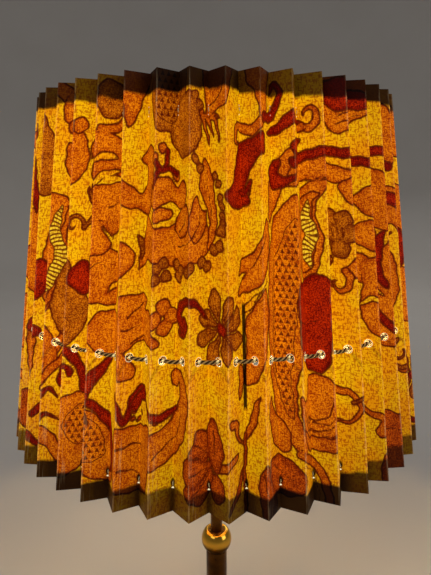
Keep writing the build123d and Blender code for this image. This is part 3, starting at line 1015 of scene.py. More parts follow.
@dataclass
class Stroke:
    """A brush stroke along a smooth curve."""

    dye: Dye
    points: np.ndarray
    width: float
    taper: Taper = TAIL

    def reach(self) -> tuple[np.ndarray, float]:
        """The curve, and how far its ink reaches from it."""
        return smooth_path(self.points, False), self.width / 2

    def depth(self, places: np.ndarray, path: np.ndarray) -> tuple[np.ndarray, np.ndarray]:
        """Signed distance to the stroke's edge, and the place along it in millimetres.

        The half width is the stroke's own times 1 for EVEN, the square root of 1 - u for TAIL,
        the sine of pi u to the power 0.7 for LEAF, and 0.35 + 0.65 u^2 for CLUB.
        """
        distance, u = nearest(places, path)
        shapes = {
            EVEN: np.ones_like(u),
            TAIL: np.sqrt(np.maximum(1 - u, 0)),
            LEAF: np.sin(pi * np.clip(u, 0.001, 0.999)) ** 0.7,
            CLUB: 0.35 + 0.65 * u**2,
        }
        length = np.linalg.norm(np.diff(path, axis=0), axis=1).sum()
        return distance - self.width / 2 * shapes[self.taper], u * length


@dataclass
class Shape:
    """A filled outline through a few points."""

    dye: Dye
    points: np.ndarray

    def reach(self) -> tuple[np.ndarray, float]:
        """The outline, and how far its ink reaches from it."""
        return smooth_path(self.points, True, 5), 0.0

    def depth(self, places: np.ndarray, path: np.ndarray) -> tuple[np.ndarray, np.ndarray]:
        """Signed distance to the outline, and the distance from its first point.

        A place is inside where a level line to its right crosses the outline an odd number of times.
        """
        ring = np.vstack([path, path[:1]])
        distance, _ = nearest(places, ring)
        start, end = ring[:-1], ring[1:]
        x, y = places[:, :1], places[:, 1:]
        spans = (start[None, :, 1] > y) != (end[None, :, 1] > y)
        rise = np.where(end[:, 1] == start[:, 1], 1e-9, end[:, 1] - start[:, 1])
        cross = (end[:, 0] - start[:, 0]) * (y - start[:, 1]) / rise + start[:, 0]
        inside = ((spans & (x < cross)).sum(1) % 2) == 1
        return np.where(inside, -distance, distance), np.hypot(x - path[0, 0], y - path[0, 1])[:, 0]


@dataclass
class FloralPrint:
    """Jacobean floral: scrolling leaves, a daisy, buds and a fruit on a yellow ground.

    Every motif is drawn in millimetres on the flat cloth: s runs along it from the front
    ridge, t up it from the lower edge. The drawing repeats along the cloth.
    """

    repeat: float = 660.0
    start: float = -250.0  # where the repeat begins
    far: float = 6.0  # distances are kept up to this
    motifs: list = field(default_factory=list)
    lattices: list = field(default_factory=list)
    ladders: list = field(default_factory=list)
    slits: list = field(default_factory=list)

    def stroke(self, dye: Dye, width: float, *places: float, taper: Taper = TAIL) -> None:
        """Adds a brush stroke."""
        self.motifs.append(Stroke(dye, pairs(places), width, taper))

    def shape(self, dye: Dye, *places: float) -> None:
        """Adds a filled outline."""
        self.motifs.append(Shape(dye, pairs(places)))

    def lines(self, *paths: list[float], width: float = 1.0) -> None:
        """Adds thin drawn lines."""
        for path in paths:
            self.motifs.append(Stroke(LINE, pairs(path), width, TAIL))

    def lattice(self, *places: float) -> None:
        """Adds an area filled with rows of small triangles."""
        self.lattices.append(Shape(LOW, pairs(places)))

    def ladder(self, width: float, *places: float) -> None:
        """Adds a yellow band with rungs across it."""
        self.ladders.append(Stroke(LOW, pairs(places), width, LEAF))

    def slit(self, width: float, *places: float) -> None:
        """Bares the ground along a short stroke."""
        self.slits.append(Stroke(LOW, pairs(places), width, LEAF))

    def beads(self, dye: Dye, radius: float, *places: float) -> None:
        """Adds round beads."""
        for centre in pairs(places):
            self.motifs.append(Stroke(dye, centre + [[-0.2, 0], [0, 0], [0.2, 0]], 2 * radius, EVEN))

    def curl(
        self, dye: Dye, centre: tuple[float, float], radius: float, start: float, turns: float, width: float
    ) -> None:
        """Adds a spiral stroke that shrinks to its centre.

        Args:
            dye: Its colour.
            centre: Centre of the spiral.
            radius: Its first radius.
            start: Direction of its first point, in degrees.
            turns: How far it winds, negative for clockwise.
            width: Its width at the start.
        """
        u = np.linspace(0, 1, 9)
        reach = radius * (1 - 0.82 * u)
        angle = radians(start) + 2 * pi * turns * u
        points = np.stack([centre[0] + reach * np.cos(angle), centre[1] + reach * np.sin(angle)], -1)
        self.motifs.append(Stroke(dye, points, width, TAIL))

    def daisy(self, centre: tuple[float, float], radius: float, count: int) -> None:
        """Adds an open flower with a red heart, each petal with a crease."""
        for petal in range(count):
            angle = 2 * pi * petal / count + 0.35
            along = np.array([cos(angle), sin(angle)])
            aside = np.array([-along[1], along[0]]) * (1 if petal % 2 else -1)
            long = radius * (0.86 + 0.08 * (petal % 3))
            wide = (1.72 / count) * radius
            outline = [0.16 * long * along, 0.40 * long * along + 0.5 * wide * aside,
                       0.70 * long * along + wide * aside, 0.94 * long * along + 0.7 * wide * aside,
                       long * along, 0.88 * long * along - 0.75 * wide * aside,
                       0.66 * long * along - wide * aside, 0.38 * long * along - 0.5 * wide * aside]
            self.motifs.append(Shape(OLIVE, np.array(outline) + centre))
            self.lines(np.array([k * long * along + centre for k in (0.3, 0.55, 0.8)]), width=0.9)
        self.beads(RED, 0.16 * radius, *centre)

    def draw(self) -> None:
        """Lays out the whole repeat."""
        self.front_scroll()
        self.front_flowers()
        self.left_scrolls()
        self.left_fruit()
        self.right_band()
        self.right_scrolls()
        self.back_spray()

    def front_scroll(self) -> None:
        """Long lattice leaf right of the front, with the acanthus beside it."""
        self.shape(LOW, 66, 168, 58, 170, 46, 160, 38, 138, 36, 112, 36, 86, 40, 62, 48, 44, 58, 32, 66, 34,
            58, 50, 56, 66, 60, 82, 63, 104, 66, 130, 68, 150)
        self.lattice(59, 158, 50, 148, 43, 128, 41, 100, 43, 74, 50, 55, 55, 52, 53, 70, 56, 96, 60, 126,
            61, 146)
        self.shape(HIGH, 36, 158, 24, 142, 14, 136, 12, 128, 18, 130, 10, 118, 24, 122, 33, 130, 38, 142)
        self.shape(HIGH, 33, 122, 22, 112, 17, 102, 17, 84, 15, 70, 24, 74, 31, 86, 35, 104)
        self.lines([34, 126, 24, 116, 19, 104], [34, 150, 26, 138, 18, 130], [16, 112, 24, 119, 33, 124],
            [16, 108, 25, 115, 33, 119], [38, 92, 46, 74, 57, 60], [38, 84, 46, 67, 57, 53])
        self.shape(HIGH, 10, 80, 14, 78, 13, 66, 10, 64)
        self.shape(HIGH, 36, 64, 40, 56, 50, 46, 52, 34, 46, 33, 38, 40, 34, 52)
        self.stroke(HIGH, 11, 62, 196, 52, 186, 44, 172, 40, 156, taper=LEAF)
        self.shape(LOW, 58, 182, 70, 180, 84, 178, 92, 184, 80, 192, 66, 194, 56, 190)
        self.shape(LOW, 74, 71, 84, 72, 92, 67, 94, 52, 90, 38, 78, 32, 66, 38, 60, 50, 58, 64, 64, 60,
            70, 64)
        self.lines([70, 50, 78, 46, 86, 50, 88, 60, 83, 64], [68, 43, 80, 40, 91, 46], width=1.4)
        self.stroke(HIGH, 8, 60, 46, 72, 34, 88, 34, 98, 42, 100, 54, taper=LEAF)
        self.lines([62, 56, 72, 46, 86, 45, 92, 54], [64, 50, 74, 40, 88, 39, 96, 50])
        self.stroke(HIGH, 5, 98, 44, 106, 42, 114, 43, 118, 51, 113, 59, 105, 60, taper=CLUB)
        self.stroke(LOW, 5, 58, 32, 70, 26, 80, 16, 84, 4, 84, -4, taper=EVEN)
        self.lines([60, 26, 70, 20, 78, 8, 78, -2])
        self.shape(LOW, 92, 178, 85, 168, 83, 158, 88, 148, 85, 138, 82, 127, 72, 125, 66, 140, 68, 160,
            74, 172, 82, 178)
        self.shape(HIGH, 86, 172, 82, 166, 81, 157, 84, 148, 81, 139, 80, 130, 72, 130, 70, 145, 72, 160,
            77, 170)
        self.ladder(7.5, 80, 168, 77, 158, 81, 149, 77, 140, 80, 130)
        self.shape(RED, 60, 122, 72, 124, 84, 128, 92, 122, 91, 100, 88, 80, 80, 73, 68, 80, 60, 92)
        self.lines([60, 104, 74, 101, 91, 104])

    def front_flowers(self) -> None:
        """Daisy, bud, stalks and red leaf at the front."""
        self.daisy((-5, 101), 21, 8)
        self.stroke(RED, 6.5, -37, 102, -42, 108, -36, 115, -24, 114, -15, 105)
        self.curl(RED, (-39, 101), 5.4, 60, -0.8, 5)
        self.shape(OLIVE, 5, 101, 9, 103, 11, 109, 8, 113, 5, 108)
        self.beads(HIGH, 4.4, -59, 106, -53, 112, -52, 101, -48, 107)
        self.shape(RED, -2, 171, 6, 177, 10, 186, 13, 196, 22, 200, 34, 203, 35, 193, 27, 190, 22, 182,
            18, 174, 22, 167, 12, 163, 4, 166)
        self.stroke(RED, 3.4, 13, 172, 17, 171, 22, 178, 20, 170)
        self.shape(UMBER, -9, 23, -4, 18, -4, 10, -9, 7, -13, 12, -14, 20)
        self.shape(UMBER, -33, 19, -34, 13, -28, 9, -20, 7, -14, 14, -12, 25, -19, 22, -26, 18)
        self.shape(UMBER, -33, 33, -36, 26, -34, 20, -26, 17, -17, 23, -12, 27, -18, 30, -26, 33)
        self.shape(UMBER, -18, 47, -24, 47, -28, 40, -31, 34, -24, 33, -16, 29, -14, 38)
        self.shape(UMBER, -12, 53, -7, 46, -4, 36, -7, 24, -12, 26, -16, 36, -16, 45)
        self.lines([-30, 24, -22, 25, -15, 27], [-26, 40, -20, 37, -16, 33], [-28, 13, -22, 16, -15, 23],
            [-11, 46, -11, 38, -11, 30], width=1.2)
        self.stroke(HIGH, 4, -6, 26, 0, 30, 6, 33, taper=EVEN)
        self.stroke(HIGH, 4.6, 15, 38, 20, 50, 26, 66, taper=LEAF)
        self.stroke(HIGH, 4.8, 14, 38, 9, 42, 7, 50, 3, 52, taper=CLUB)
        self.stroke(UMBER, 2.4, 15, 42, 14, 28, 14, 12, 15, 0, taper=EVEN)
        self.stroke(UMBER, 3.4, 13, 26, 8, 14, 0, 4, taper=LEAF)
        self.shape(UMBER, 34, 30, 44, 31, 54, 26, 61, 18, 58, 10, 48, 8, 38, 13, 33, 22)
        self.shape(UMBER, 30, 30, 25, 22, 24, 12, 28, 0, 38, -2, 40, 10, 34, 20)
        self.lines([36, 28, 44, 22, 54, 16], [28, 24, 30, 14, 34, 4])
        self.shape(HIGH, 22, 238, 20, 230, 26, 224, 29, 214, 30, 208, 38, 210, 40, 226, 44, 240)
        self.stroke(HIGH, 6.5, 31, 208, 22, 204, 13, 206, 10, 199, 14, 196)
        self.stroke(RED, 5.5, 34, 210, 44, 212, 51, 222, 47, 229, 43, 222)
        self.stroke(RED, 6.5, 38, 202, 50, 206, 62, 211, 78, 209, taper=LEAF)
        self.shape(RED, 41, 186, 50, 190, 49, 183, 56, 180, 66, 184, 56, 176, 46, 174, 41, 178)
        self.shape(RED, 58, 197, 66, 201, 76, 200, 70, 193, 60, 192)

    def left_scrolls(self) -> None:
        """Acanthus, feather leaf, pomegranates and horn leaf left of the front."""
        self.shape(LOW, -62, 155, -50, 154, -40, 160, -34, 166, -30, 158, -26, 168, -20, 160, -14, 152,
            -14, 144, -24, 136, -38, 133, -52, 134, -66, 137, -74, 134, -79, 132, -76, 146, -70, 160)
        self.shape(HIGH, -17, 190, -12, 180, -9, 166, -9, 150, -16, 142, -14, 154, -17, 166, -22, 176,
            -21, 184)
        self.shape(HIGH, -44, 160, -36, 166, -31, 160, -32, 152, -40, 149, -46, 152)
        self.shape(HIGH, -29, 163, -24, 170, -21, 164, -17, 162, -18, 152, -26, 146, -30, 152)
        self.lines([-42, 152, -36, 156, -33, 163], [-28, 148, -22, 156, -23, 166],
            [-44, 144, -32, 146, -24, 150], [-15, 146, -13, 164, -17, 182])
        self.shape(HIGH, -62, 178, -52, 180, -44, 175, -38, 179, -33, 174, -36, 166, -42, 164, -50, 167,
            -60, 164, -66, 168)
        self.shape(LOW, -60, 164, -50, 163, -48, 159, -56, 157, -62, 158)
        self.shape(LOW, -92, 178, -84, 176, -78, 172, -72, 182, -78, 190, -72, 196, -62, 194, -62, 172,
            -70, 160, -80, 164, -90, 166)
        self.shape(HIGH, -92, 146, -84, 144, -81, 138, -86, 130, -94, 126, -99, 134)
        self.stroke(OLIVE, 3.2, -80, 150, -76, 144, -77, 136, taper=LEAF)
        self.beads(OLIVE, 3, -33, 131, -29, 133, -43, 128, -44, 134, -40, 132, -58, 133, -53, 135, -59, 127,
            -52, 128, -11, 142, -6, 144, -20, 136, -16, 134)
        self.beads(OLIVE, 2.1, -10, 180, -7, 176, -5, 169, -4, 165, -4, 160, -4, 156)
        self.shape(OLIVE, -4, 156, -1, 152, -3, 149, -8, 150, -7, 154)
        self.shape(OLIVE, -62, 240, -68, 222, -62, 207, -52, 203, -42, 206, -36, 222, -36, 240)
        self.lattice(-62, 236, -62, 220, -57, 210, -49, 208, -44, 216, -42, 236)
        self.shape(OLIVE, -48, 214, -50, 202, -44, 193, -36, 190, -26, 193, -21, 202, -22, 214, -28, 222,
            -40, 222)
        self.beads(OLIVE, 2.6, -26, 221, -22, 217, -25, 189, -22, 185)
        self.stroke(HIGH, 3.2, -20, 214, -14, 208, -11, 200)
        self.stroke(HIGH, 3.2, -16, 211, -9, 209, -6, 197)
        self.stroke(HIGH, 3.2, -18, 212, -10, 212, -5, 209)
        self.stroke(HIGH, 3.2, -20, 213, -17, 204, -14, 197)
        self.shape(HIGH, -16, 213, -8, 214, 0, 218, 5, 228, 6, 240, -18, 240)
        self.lines([-14, 217, -6, 221, 0, 232])
        self.stroke(RED, 2.8, -62, 176, -58, 182, -53, 186, -52, 193, taper=EVEN)
        self.stroke(RED, 2.8, -60, 188, -56, 184, -50, 184, -45, 182, taper=EVEN)
        self.beads(HIGH, 2.7, -55, 195, -61, 190, -45, 181)
        self.shape(LOW, -62, 27, -48, 29, -37, 41, -32, 56, -33, 70, -39, 79, -46, 77, -47, 71, -43, 69,
            -40, 73, -41, 62, -47, 51, -55, 46, -64, 44)
        self.stroke(RED, 4.4, -66, 62, -60, 55, -52, 53, -44, 57, -41, 60, taper=LEAF)
        self.lines([-56, 50, -52, 48], [-58, 32, -44, 42, -37, 58])
        self.stroke(RED, 5, -93, 62, -88, 52, -84, 50, -80, 62, -72, 68, -66, 66)
        self.shape(RED, -82, 58, -76, 64, -69, 69, -66, 62, -72, 60, -78, 54)
        self.beads(UMBER, 1.2, -79, 54, -76, 49, -73, 53, -80, 50, -57, 51)
        self.shape(LOW, -94, 42, -84, 46, -72, 46, -62, 50, -60, 38, -62, 22, -66, 12, -78, 9, -94, 14)
        self.lines([-88, 22, -80, 22, -76, 18], [-90, 34, -78, 36, -68, 30], width=1.6)
        self.shape(HIGH, -92, 115, -80, 118, -68, 116, -72, 110, -64, 110, -60, 100, -55, 92, -64, 92,
            -78, 92, -92, 86)
        self.lines([-88, 99, -82, 100, -76, 101], [-84, 106, -76, 112, -68, 115],
            [-82, 92, -74, 95, -66, 94], width=1.3)
        self.shape(HIGH, -92, 74, -84, 72, -79, 76, -82, 82, -90, 88)

    def left_fruit(self) -> None:
        """Big scroll, lattice paisley, bulb and ladder leaf on the left side."""
        self.shape(LOW, -92, 222, -86, 206, -78, 222, -72, 232, -66, 242, -98, 242)
        self.shape(LOW, -138, 200, -128, 206, -112, 204, -98, 198, -90, 188, -96, 180, -112, 182, -120, 176,
            -136, 178)
        self.shape(HIGH, -140, 172, -130, 180, -116, 176, -104, 178, -98, 166, -104, 152, -116, 150,
            -130, 158)
        self.shape(HIGH, -136, 154, -124, 158, -112, 156, -108, 146, -116, 138, -130, 142)
        self.shape(LOW, -136, 136, -124, 142, -110, 142, -98, 136, -94, 124, -102, 112, -118, 112, -132, 118)
        self.lines([-122, 130, -114, 134, -110, 130], [-112, 164, -104, 168])
        self.slit(4.4, -121, 189, -113, 192, -106, 191)
        self.slit(3.8, -124, 172, -116, 181, -104, 185)
        self.slit(2.4, -114, 154, -109, 147, -103, 141)
        self.slit(2.4, -109, 148, -103, 150, -97, 149)
        self.slit(3, -136, 170, -140, 186, -132, 196)
        self.slit(3.2, -98, 124, -106, 122, -110, 118)
        self.shape(OLIVE, -118, 230, -110, 232, -102, 226, -106, 214, -114, 212, -120, 220)
        self.curl(LOW, (-112, 220), 15, 250, 0.7, 5)
        self.shape(HIGH, -118, 104, -108, 108, -96, 106, -92, 94, -100, 84, -114, 84, -121, 94)
        self.shape(LOW, -166, 28, -160, 48, -146, 57, -128, 57, -112, 48, -102, 34, -96, 20, -100, 12,
            -116, 13, -126, 22, -136, 14, -150, 8, -162, 14)
        self.lattice(-148, 40, -140, 50, -124, 51, -112, 42, -107, 28, -116, 22, -130, 26, -142, 28)
        self.stroke(RED, 6.5, -124, 60, -112, 52, -102, 40, -97, 24, -104, 17, taper=LEAF)
        self.stroke(RED, 8, -106, 84, -112, 74, -120, 66, -123, 54, -118, 44, taper=LEAF)
        self.stroke(RED, 5.4, -168, 60, -165, 74, -158, 82, -148, 83, -140, 74, -136, 60, taper=EVEN)
        self.curl(RED, (-151, 70), 5.5, 0, 0.8, 4)
        self.shape(OLIVE, -172, 128, -164, 138, -152, 138, -146, 128, -138, 116, -136, 100, -146, 88,
            -160, 84, -172, 92, -177, 108)
        self.shape(RED, -146, 132, -138, 134, -136, 126, -132, 122, -138, 114, -144, 118, -150, 124)
        self.curl(OLIVE, (-147, 155), 6.5, -20, 0.9, 2.6)
        self.stroke(OLIVE, 2.6, -141, 153, -134, 160, -138, 172, -130, 180, taper=EVEN)
        self.shape(LOW, -172, 202, -162, 196, -156, 204, -144, 206, -140, 190, -148, 178, -162, 178,
            -172, 186)
        self.curl(LOW, (-186, 218), 17, 30, 0.75, 9)
        self.curl(LOW, (-158, 222), 15, 200, -0.75, 8)
        self.beads(HIGH, 4.2, -168, 211, -146, 210)
        self.shape(LOW, -188, 168, -176, 172, -168, 166, -170, 151, -166, 138, -172, 120, -180, 102,
            -202, 104, -206, 128, -202, 150)
        self.stroke(HIGH, 3.4, -168, 164, -172, 150, -169, 138, -174, 122, -180, 106, taper=EVEN)
        self.ladder(7.5, -173, 166, -177, 152, -173, 137, -178, 121, -184, 110)
        self.shape(OLIVE, -214, 222, -204, 208, -196, 190, -198, 174, -210, 172, -222, 190)
        self.shape(RED, -216, 128, -206, 132, -198, 124, -204, 110, -214, 108)
        self.stroke(LOW, 6, -186, 60, -179, 74, -171, 84, -167, 96, taper=LEAF)
        self.stroke(HIGH, 5, -184, 54, -176, 66, -168, 76, -164, 86, taper=LEAF)
        self.stroke(LOW, 9, -200, 92, -188, 94, -178, 84, -176, 70, -182, 58, taper=LEAF)
        self.stroke(HIGH, 6, -206, 84, -194, 82, -186, 70, -188, 56, taper=LEAF)
        self.stroke(RED, 5, -200, 50, -190, 56, -182, 50, -176, 56, -170, 50)
        self.stroke(RED, 5, -206, 34, -196, 42, -186, 34, -176, 40, -168, 36)
        self.stroke(LOW, 10, -196, 22, -184, 28, -172, 22, -168, 10, taper=LEAF)
        self.shape(LOW, -230, 100, -216, 98, -208, 84, -210, 60, -222, 44, -234, 56, -238, 80)
        self.shape(RED, -236, 92, -220, 92, -206, 90, -206, 84, -222, 82, -238, 84)
        self.shape(LOW, -244, 160, -232, 164, -222, 154, -226, 136, -220, 116, -232, 108, -246, 118,
            -250, 140)
        self.stroke(RED, 8, -240, 216, -244, 196, -240, 176, -236, 160, taper=LEAF)
        self.shape(UMBER, -236, 44, -224, 40, -220, 28, -228, 16, -242, 22, -246, 36)
        self.stroke(RED, 6, -226, 14, -214, 22, -202, 14, -190, 18)

    def right_band(self) -> None:
        """Red ribbon, sprig and top leaf on the right."""
        self.stroke(LOW, 15, 58, 182, 84, 186, 104, 184, 124, 178, 140, 168, taper=TAIL)
        self.stroke(RED, 5.4, 58, 187, 78, 191, 98, 196, 120, 193, 150, 189, 168, 196, 186, 196, 206, 188,
            taper=EVEN)
        self.curl(HIGH, (81, 213), 7.5, 240, 0.9, 5)
        self.stroke(HIGH, 4, 70, 208, 76, 206, 82, 207, taper=LEAF)
        self.beads(OLIVE, 5.2, 106, 158, 114, 157, 117, 149, 112, 141, 102, 147)
        self.beads(OLIVE, 5, 109, 150)
        self.lines([107, 152, 108, 146], [110, 153, 111, 147], [113, 152, 113, 147])
        self.stroke(OLIVE, 2.2, 106, 136, 103, 128, 106, 120, taper=EVEN)
        self.shape(LOW, 98, 240, 102, 222, 110, 206, 124, 206, 142, 212, 156, 218, 164, 226, 156, 240)
        self.shape(RED, 106, 232, 108, 220, 118, 216, 124, 224, 120, 234)
        self.shape(RED, 134, 224, 142, 218, 154, 220, 150, 227, 140, 229)
        self.lines([112, 210, 130, 212, 150, 216], [114, 214, 130, 217])
        self.shape(LOW, 112, 128, 122, 136, 138, 138, 148, 132, 150, 122, 140, 120, 130, 126, 120, 124)
        self.curl(HIGH, (110, 122), 7.5, 60, -0.85, 4.4)
        self.shape(HIGH, 112, 176, 118, 166, 128, 164, 138, 170, 134, 178, 122, 180)

    def right_scrolls(self) -> None:
        """Broad scroll with red crescents, low scrolls and the corner flower on the right."""
        self.shape(LOW, 138, 168, 150, 176, 160, 184, 176, 186, 186, 176, 190, 160, 182, 150, 170, 152,
            158, 160, 148, 158)
        self.shape(HIGH, 136, 150, 148, 156, 160, 152, 168, 156, 172, 146, 164, 136, 150, 138, 140, 142)
        self.shape(LOW, 140, 130, 154, 136, 170, 136, 184, 146, 196, 146, 206, 130, 208, 112, 202, 96,
            190, 84, 176, 78, 160, 84, 146, 90, 139, 104, 142, 118)
        self.stroke(RED, 9, 178, 150, 171, 138, 171, 124, 178, 114, taper=LEAF)
        self.stroke(RED, 5, 166, 106, 172, 96, 182, 88, 190, 82, taper=LEAF)
        self.lines([196, 142, 188, 128, 188, 114], [154, 126, 160, 116, 156, 104], [150, 118, 158, 122],
            width=1.4)
        self.slit(3.4, 138, 106, 146, 110, 156, 109)
        self.slit(3.2, 160, 112, 167, 113, 175, 110)
        self.slit(5, 198, 142, 204, 150, 210, 144)
        self.shape(HIGH, 196, 170, 206, 176, 216, 168, 214, 152, 204, 146, 196, 154)
        self.stroke(RED, 8, 196, 168, 206, 168, 216, 164, taper=EVEN)
        self.shape(LOW, 200, 226, 210, 222, 214, 204, 208, 188, 198, 192, 196, 210)
        self.ladder(5.5, 212, 222, 216, 206, 212, 190)
        self.curl(OLIVE, (206, 70), 8, 100, 0.85, 3)
        self.stroke(OLIVE, 3, 198, 70, 204, 60, 214, 60, 222, 66, taper=LEAF)
        self.stroke(LOW, 6, 186, 82, 194, 70, 206, 58, 222, 56, taper=TAIL)
        self.stroke(HIGH, 7, 134, 50, 140, 42, 150, 38, 148, 30, taper=CLUB)
        self.stroke(OLIVE, 2, 114, 53, 122, 56, 130, 52, 136, 48, taper=EVEN)
        self.shape(UMBER, 146, 0, 150, 18, 158, 32, 170, 38, 184, 32, 196, 26, 200, 18, 190, 10, 180, 0,
            164, -4)
        self.curl(HIGH, (164, 30), 6, 30, 0.8, 4)
        self.lines([160, 22, 172, 26, 184, 24], [156, 12, 168, 16, 180, 12], width=1.3)
        self.stroke(UMBER, 5, 130, 0, 132, 12, 128, 20, taper=LEAF)
        self.shape(LOW, 224, 170, 238, 178, 250, 170, 254, 152, 246, 134, 232, 130, 222, 142, 218, 156)
        self.shape(HIGH, 220, 118, 234, 124, 248, 118, 252, 100, 242, 86, 228, 90, 218, 102)
        self.stroke(RED, 7, 226, 156, 236, 146, 238, 132, 232, 118, taper=LEAF)
        self.shape(LOW, 226, 232, 240, 226, 250, 210, 244, 196, 230, 200, 222, 214)
        self.daisy((240, 48), 18, 7)
        self.stroke(RED, 5, 222, 30, 230, 20, 244, 14, 256, 18)

    def back_spray(self) -> None:
        """Leaves, fruit and flowers that join the two ends of the repeat at the back."""
        self.shape(LOW, 272, 214, 288, 224, 306, 216, 314, 198, 308, 178, 292, 170, 276, 178, 268, 196)
        self.lattice(282, 206, 292, 212, 302, 204, 304, 190, 294, 180, 282, 188)
        self.stroke(RED, 6.5, 262, 224, 262, 200, 270, 180, 286, 166, taper=LEAF)
        self.stroke(LOW, 15, 300, 160, 286, 146, 280, 124, 288, 104, 306, 96)
        self.stroke(HIGH, 9, 282, 140, 266, 132, 258, 116, 262, 100)
        self.curl(LOW, (318, 110), 17, 240, 0.9, 9)
        self.daisy((322, 146), 17, 8)
        self.stroke(RED, 5, 306, 132, 298, 122, 302, 110, 312, 106)
        self.shape(OLIVE, 284, 76, 296, 84, 308, 78, 312, 62, 304, 48, 290, 48, 282, 60)
        self.shape(LOW, 330, 84, 346, 92, 362, 84, 368, 66, 358, 50, 342, 48, 330, 60)
        self.lattice(338, 78, 348, 82, 358, 74, 358, 62, 348, 56, 338, 64)
        self.stroke(LOW, 12, 276, 34, 292, 24, 310, 26, 324, 38, 340, 40)
        self.stroke(HIGH, 7, 300, 14, 318, 8, 336, 14, 346, 28, taper=LEAF)
        self.shape(UMBER, 360, 24, 372, 32, 386, 28, 392, 14, 382, 2, 366, 2, 358, 12)
        self.stroke(RED, 6, 350, 118, 362, 128, 378, 124, 390, 112, taper=LEAF)
        self.shape(LOW, 344, 212, 356, 224, 374, 222, 386, 208, 384, 190, 368, 182, 350, 188, 342, 200)
        self.ladder(8, 352, 210, 364, 204, 374, 194)
        self.stroke(LOW, 11, 346, 176, 356, 158, 372, 150, 388, 158, taper=LEAF)
        self.curl(OLIVE, (330, 196), 8, 0, 0.9, 3)
        self.stroke(RED, 5, 320, 224, 328, 214, 342, 214, 350, 222)
        self.shape(LOW, 380, 96, 392, 104, 404, 98, 406, 80, 396, 66, 382, 72)
        self.shape(LOW, 344, 152, 352, 142, 366, 140, 378, 134, 392, 138, 404, 146, 408, 128, 398, 114,
            384, 118, 370, 124, 356, 124, 346, 134)
        self.stroke(HIGH, 10, 392, 208, 402, 194, 406, 174, 402, 156, 396, 144)
        self.shape(LOW, 384, 242, 390, 228, 400, 216, 412, 220, 418, 242)
        self.shape(HIGH, 254, 76, 262, 90, 276, 94, 282, 82, 276, 66, 262, 62)
        self.stroke(LOW, 9, 276, 94, 290, 96, 304, 92, 318, 96, 332, 92)
        self.stroke(RED, 6, 262, 54, 274, 46, 284, 48, 294, 38)
        self.shape(OLIVE, 318, 234, 326, 242, 344, 240, 348, 230, 334, 226)
        self.shape(HIGH, 318, 60, 326, 50, 322, 36, 312, 40, 310, 54)
        self.stroke(RED, 6, 374, 108, 380, 94, 376, 80, 370, 70, taper=LEAF)
        self.stroke(HIGH, 7, 366, 44, 378, 50, 392, 46, 404, 54, taper=LEAF)
        self.ladder(6, 300, 154, 290, 140, 286, 122, 294, 106)
        self.beads(OLIVE, 3.4, 334, 118, 342, 112, 340, 104, 330, 108)
        self.lines([276, 82, 268, 76, 262, 70], [352, 136, 370, 132, 392, 126], [288, 78, 298, 68, 302, 54],
            [364, 26, 374, 20, 384, 10], [350, 216, 366, 214, 380, 204], width=1.2)

    def touched(
        self, motif: Stroke | Shape, places: np.ndarray
    ) -> tuple[np.ndarray, np.ndarray, np.ndarray]:
        """The places within reach of a motif.

        Args:
            motif: The stroke or outline.
            places: Array of shape (n, 2).

        Returns:
            Their numbers, their depths, and the place along the motif.
        """
        path, reach = motif.reach()
        low, high = path.min(0) - reach - self.far, path.max(0) + reach + self.far
        near = np.flatnonzero(((places > low) & (places < high)).all(1))
        return near, *motif.depth(places[near], path)

    def fields(self, s: np.ndarray, t: np.ndarray) -> tuple[np.ndarray, ...]:
        """Signed distances of every dye at many places.

        Places are first nudged by a few sines, so that outlines waver like a hand's. Inside a
        motif a dye's distance is that motif's own, so that a later motif's outline shows on an
        earlier one. Outside it is the least over all of them. Slits then bare the ground.

        Args:
            s: Places along the cloth.
            t: Places up the cloth.

        Returns:
            One array for each dye, then lattice depth, ladder depth and the place along a ladder.
        """
        wander_s = 0.45 * np.sin(t * 0.31 + s * 0.07) + 0.3 * np.sin(t * 0.83 + 1.0)
        wander_t = 0.45 * np.sin(s * 0.29 + 0.6) + 0.3 * np.sin(s * 0.77 + t * 0.1)
        places = np.stack([(s - self.start) % self.repeat + self.start + wander_s, t + wander_t], axis=-1)
        found = np.full((len(Dye), len(s)), self.far)
        lattice, ladder = np.full(len(s), self.far), np.full(len(s), self.far)
        along = np.zeros(len(s))
        for target, motifs in ((found, self.motifs), (lattice, self.lattices), (ladder, self.ladders)):
            for motif in motifs:
                row = target[motif.dye.value] if target is found else target
                for shift in (-self.repeat, 0.0, self.repeat):
                    near, depth, run = self.touched(motif, places - [shift, 0])
                    if target is ladder:
                        along[near] = np.where(depth < row[near], run, along[near])
                    row[near] = np.where(depth < 0, depth, np.minimum(row[near], depth))
        for slit in self.slits:
            near, depth, _ = self.touched(slit, places)
            for dye in (LOW, HIGH, OLIVE):
                found[dye.value, near] = np.maximum(found[dye.value, near], -depth)
        return (*found, lattice, ladder, along)


# ---------------------------------------------------------------- the shade


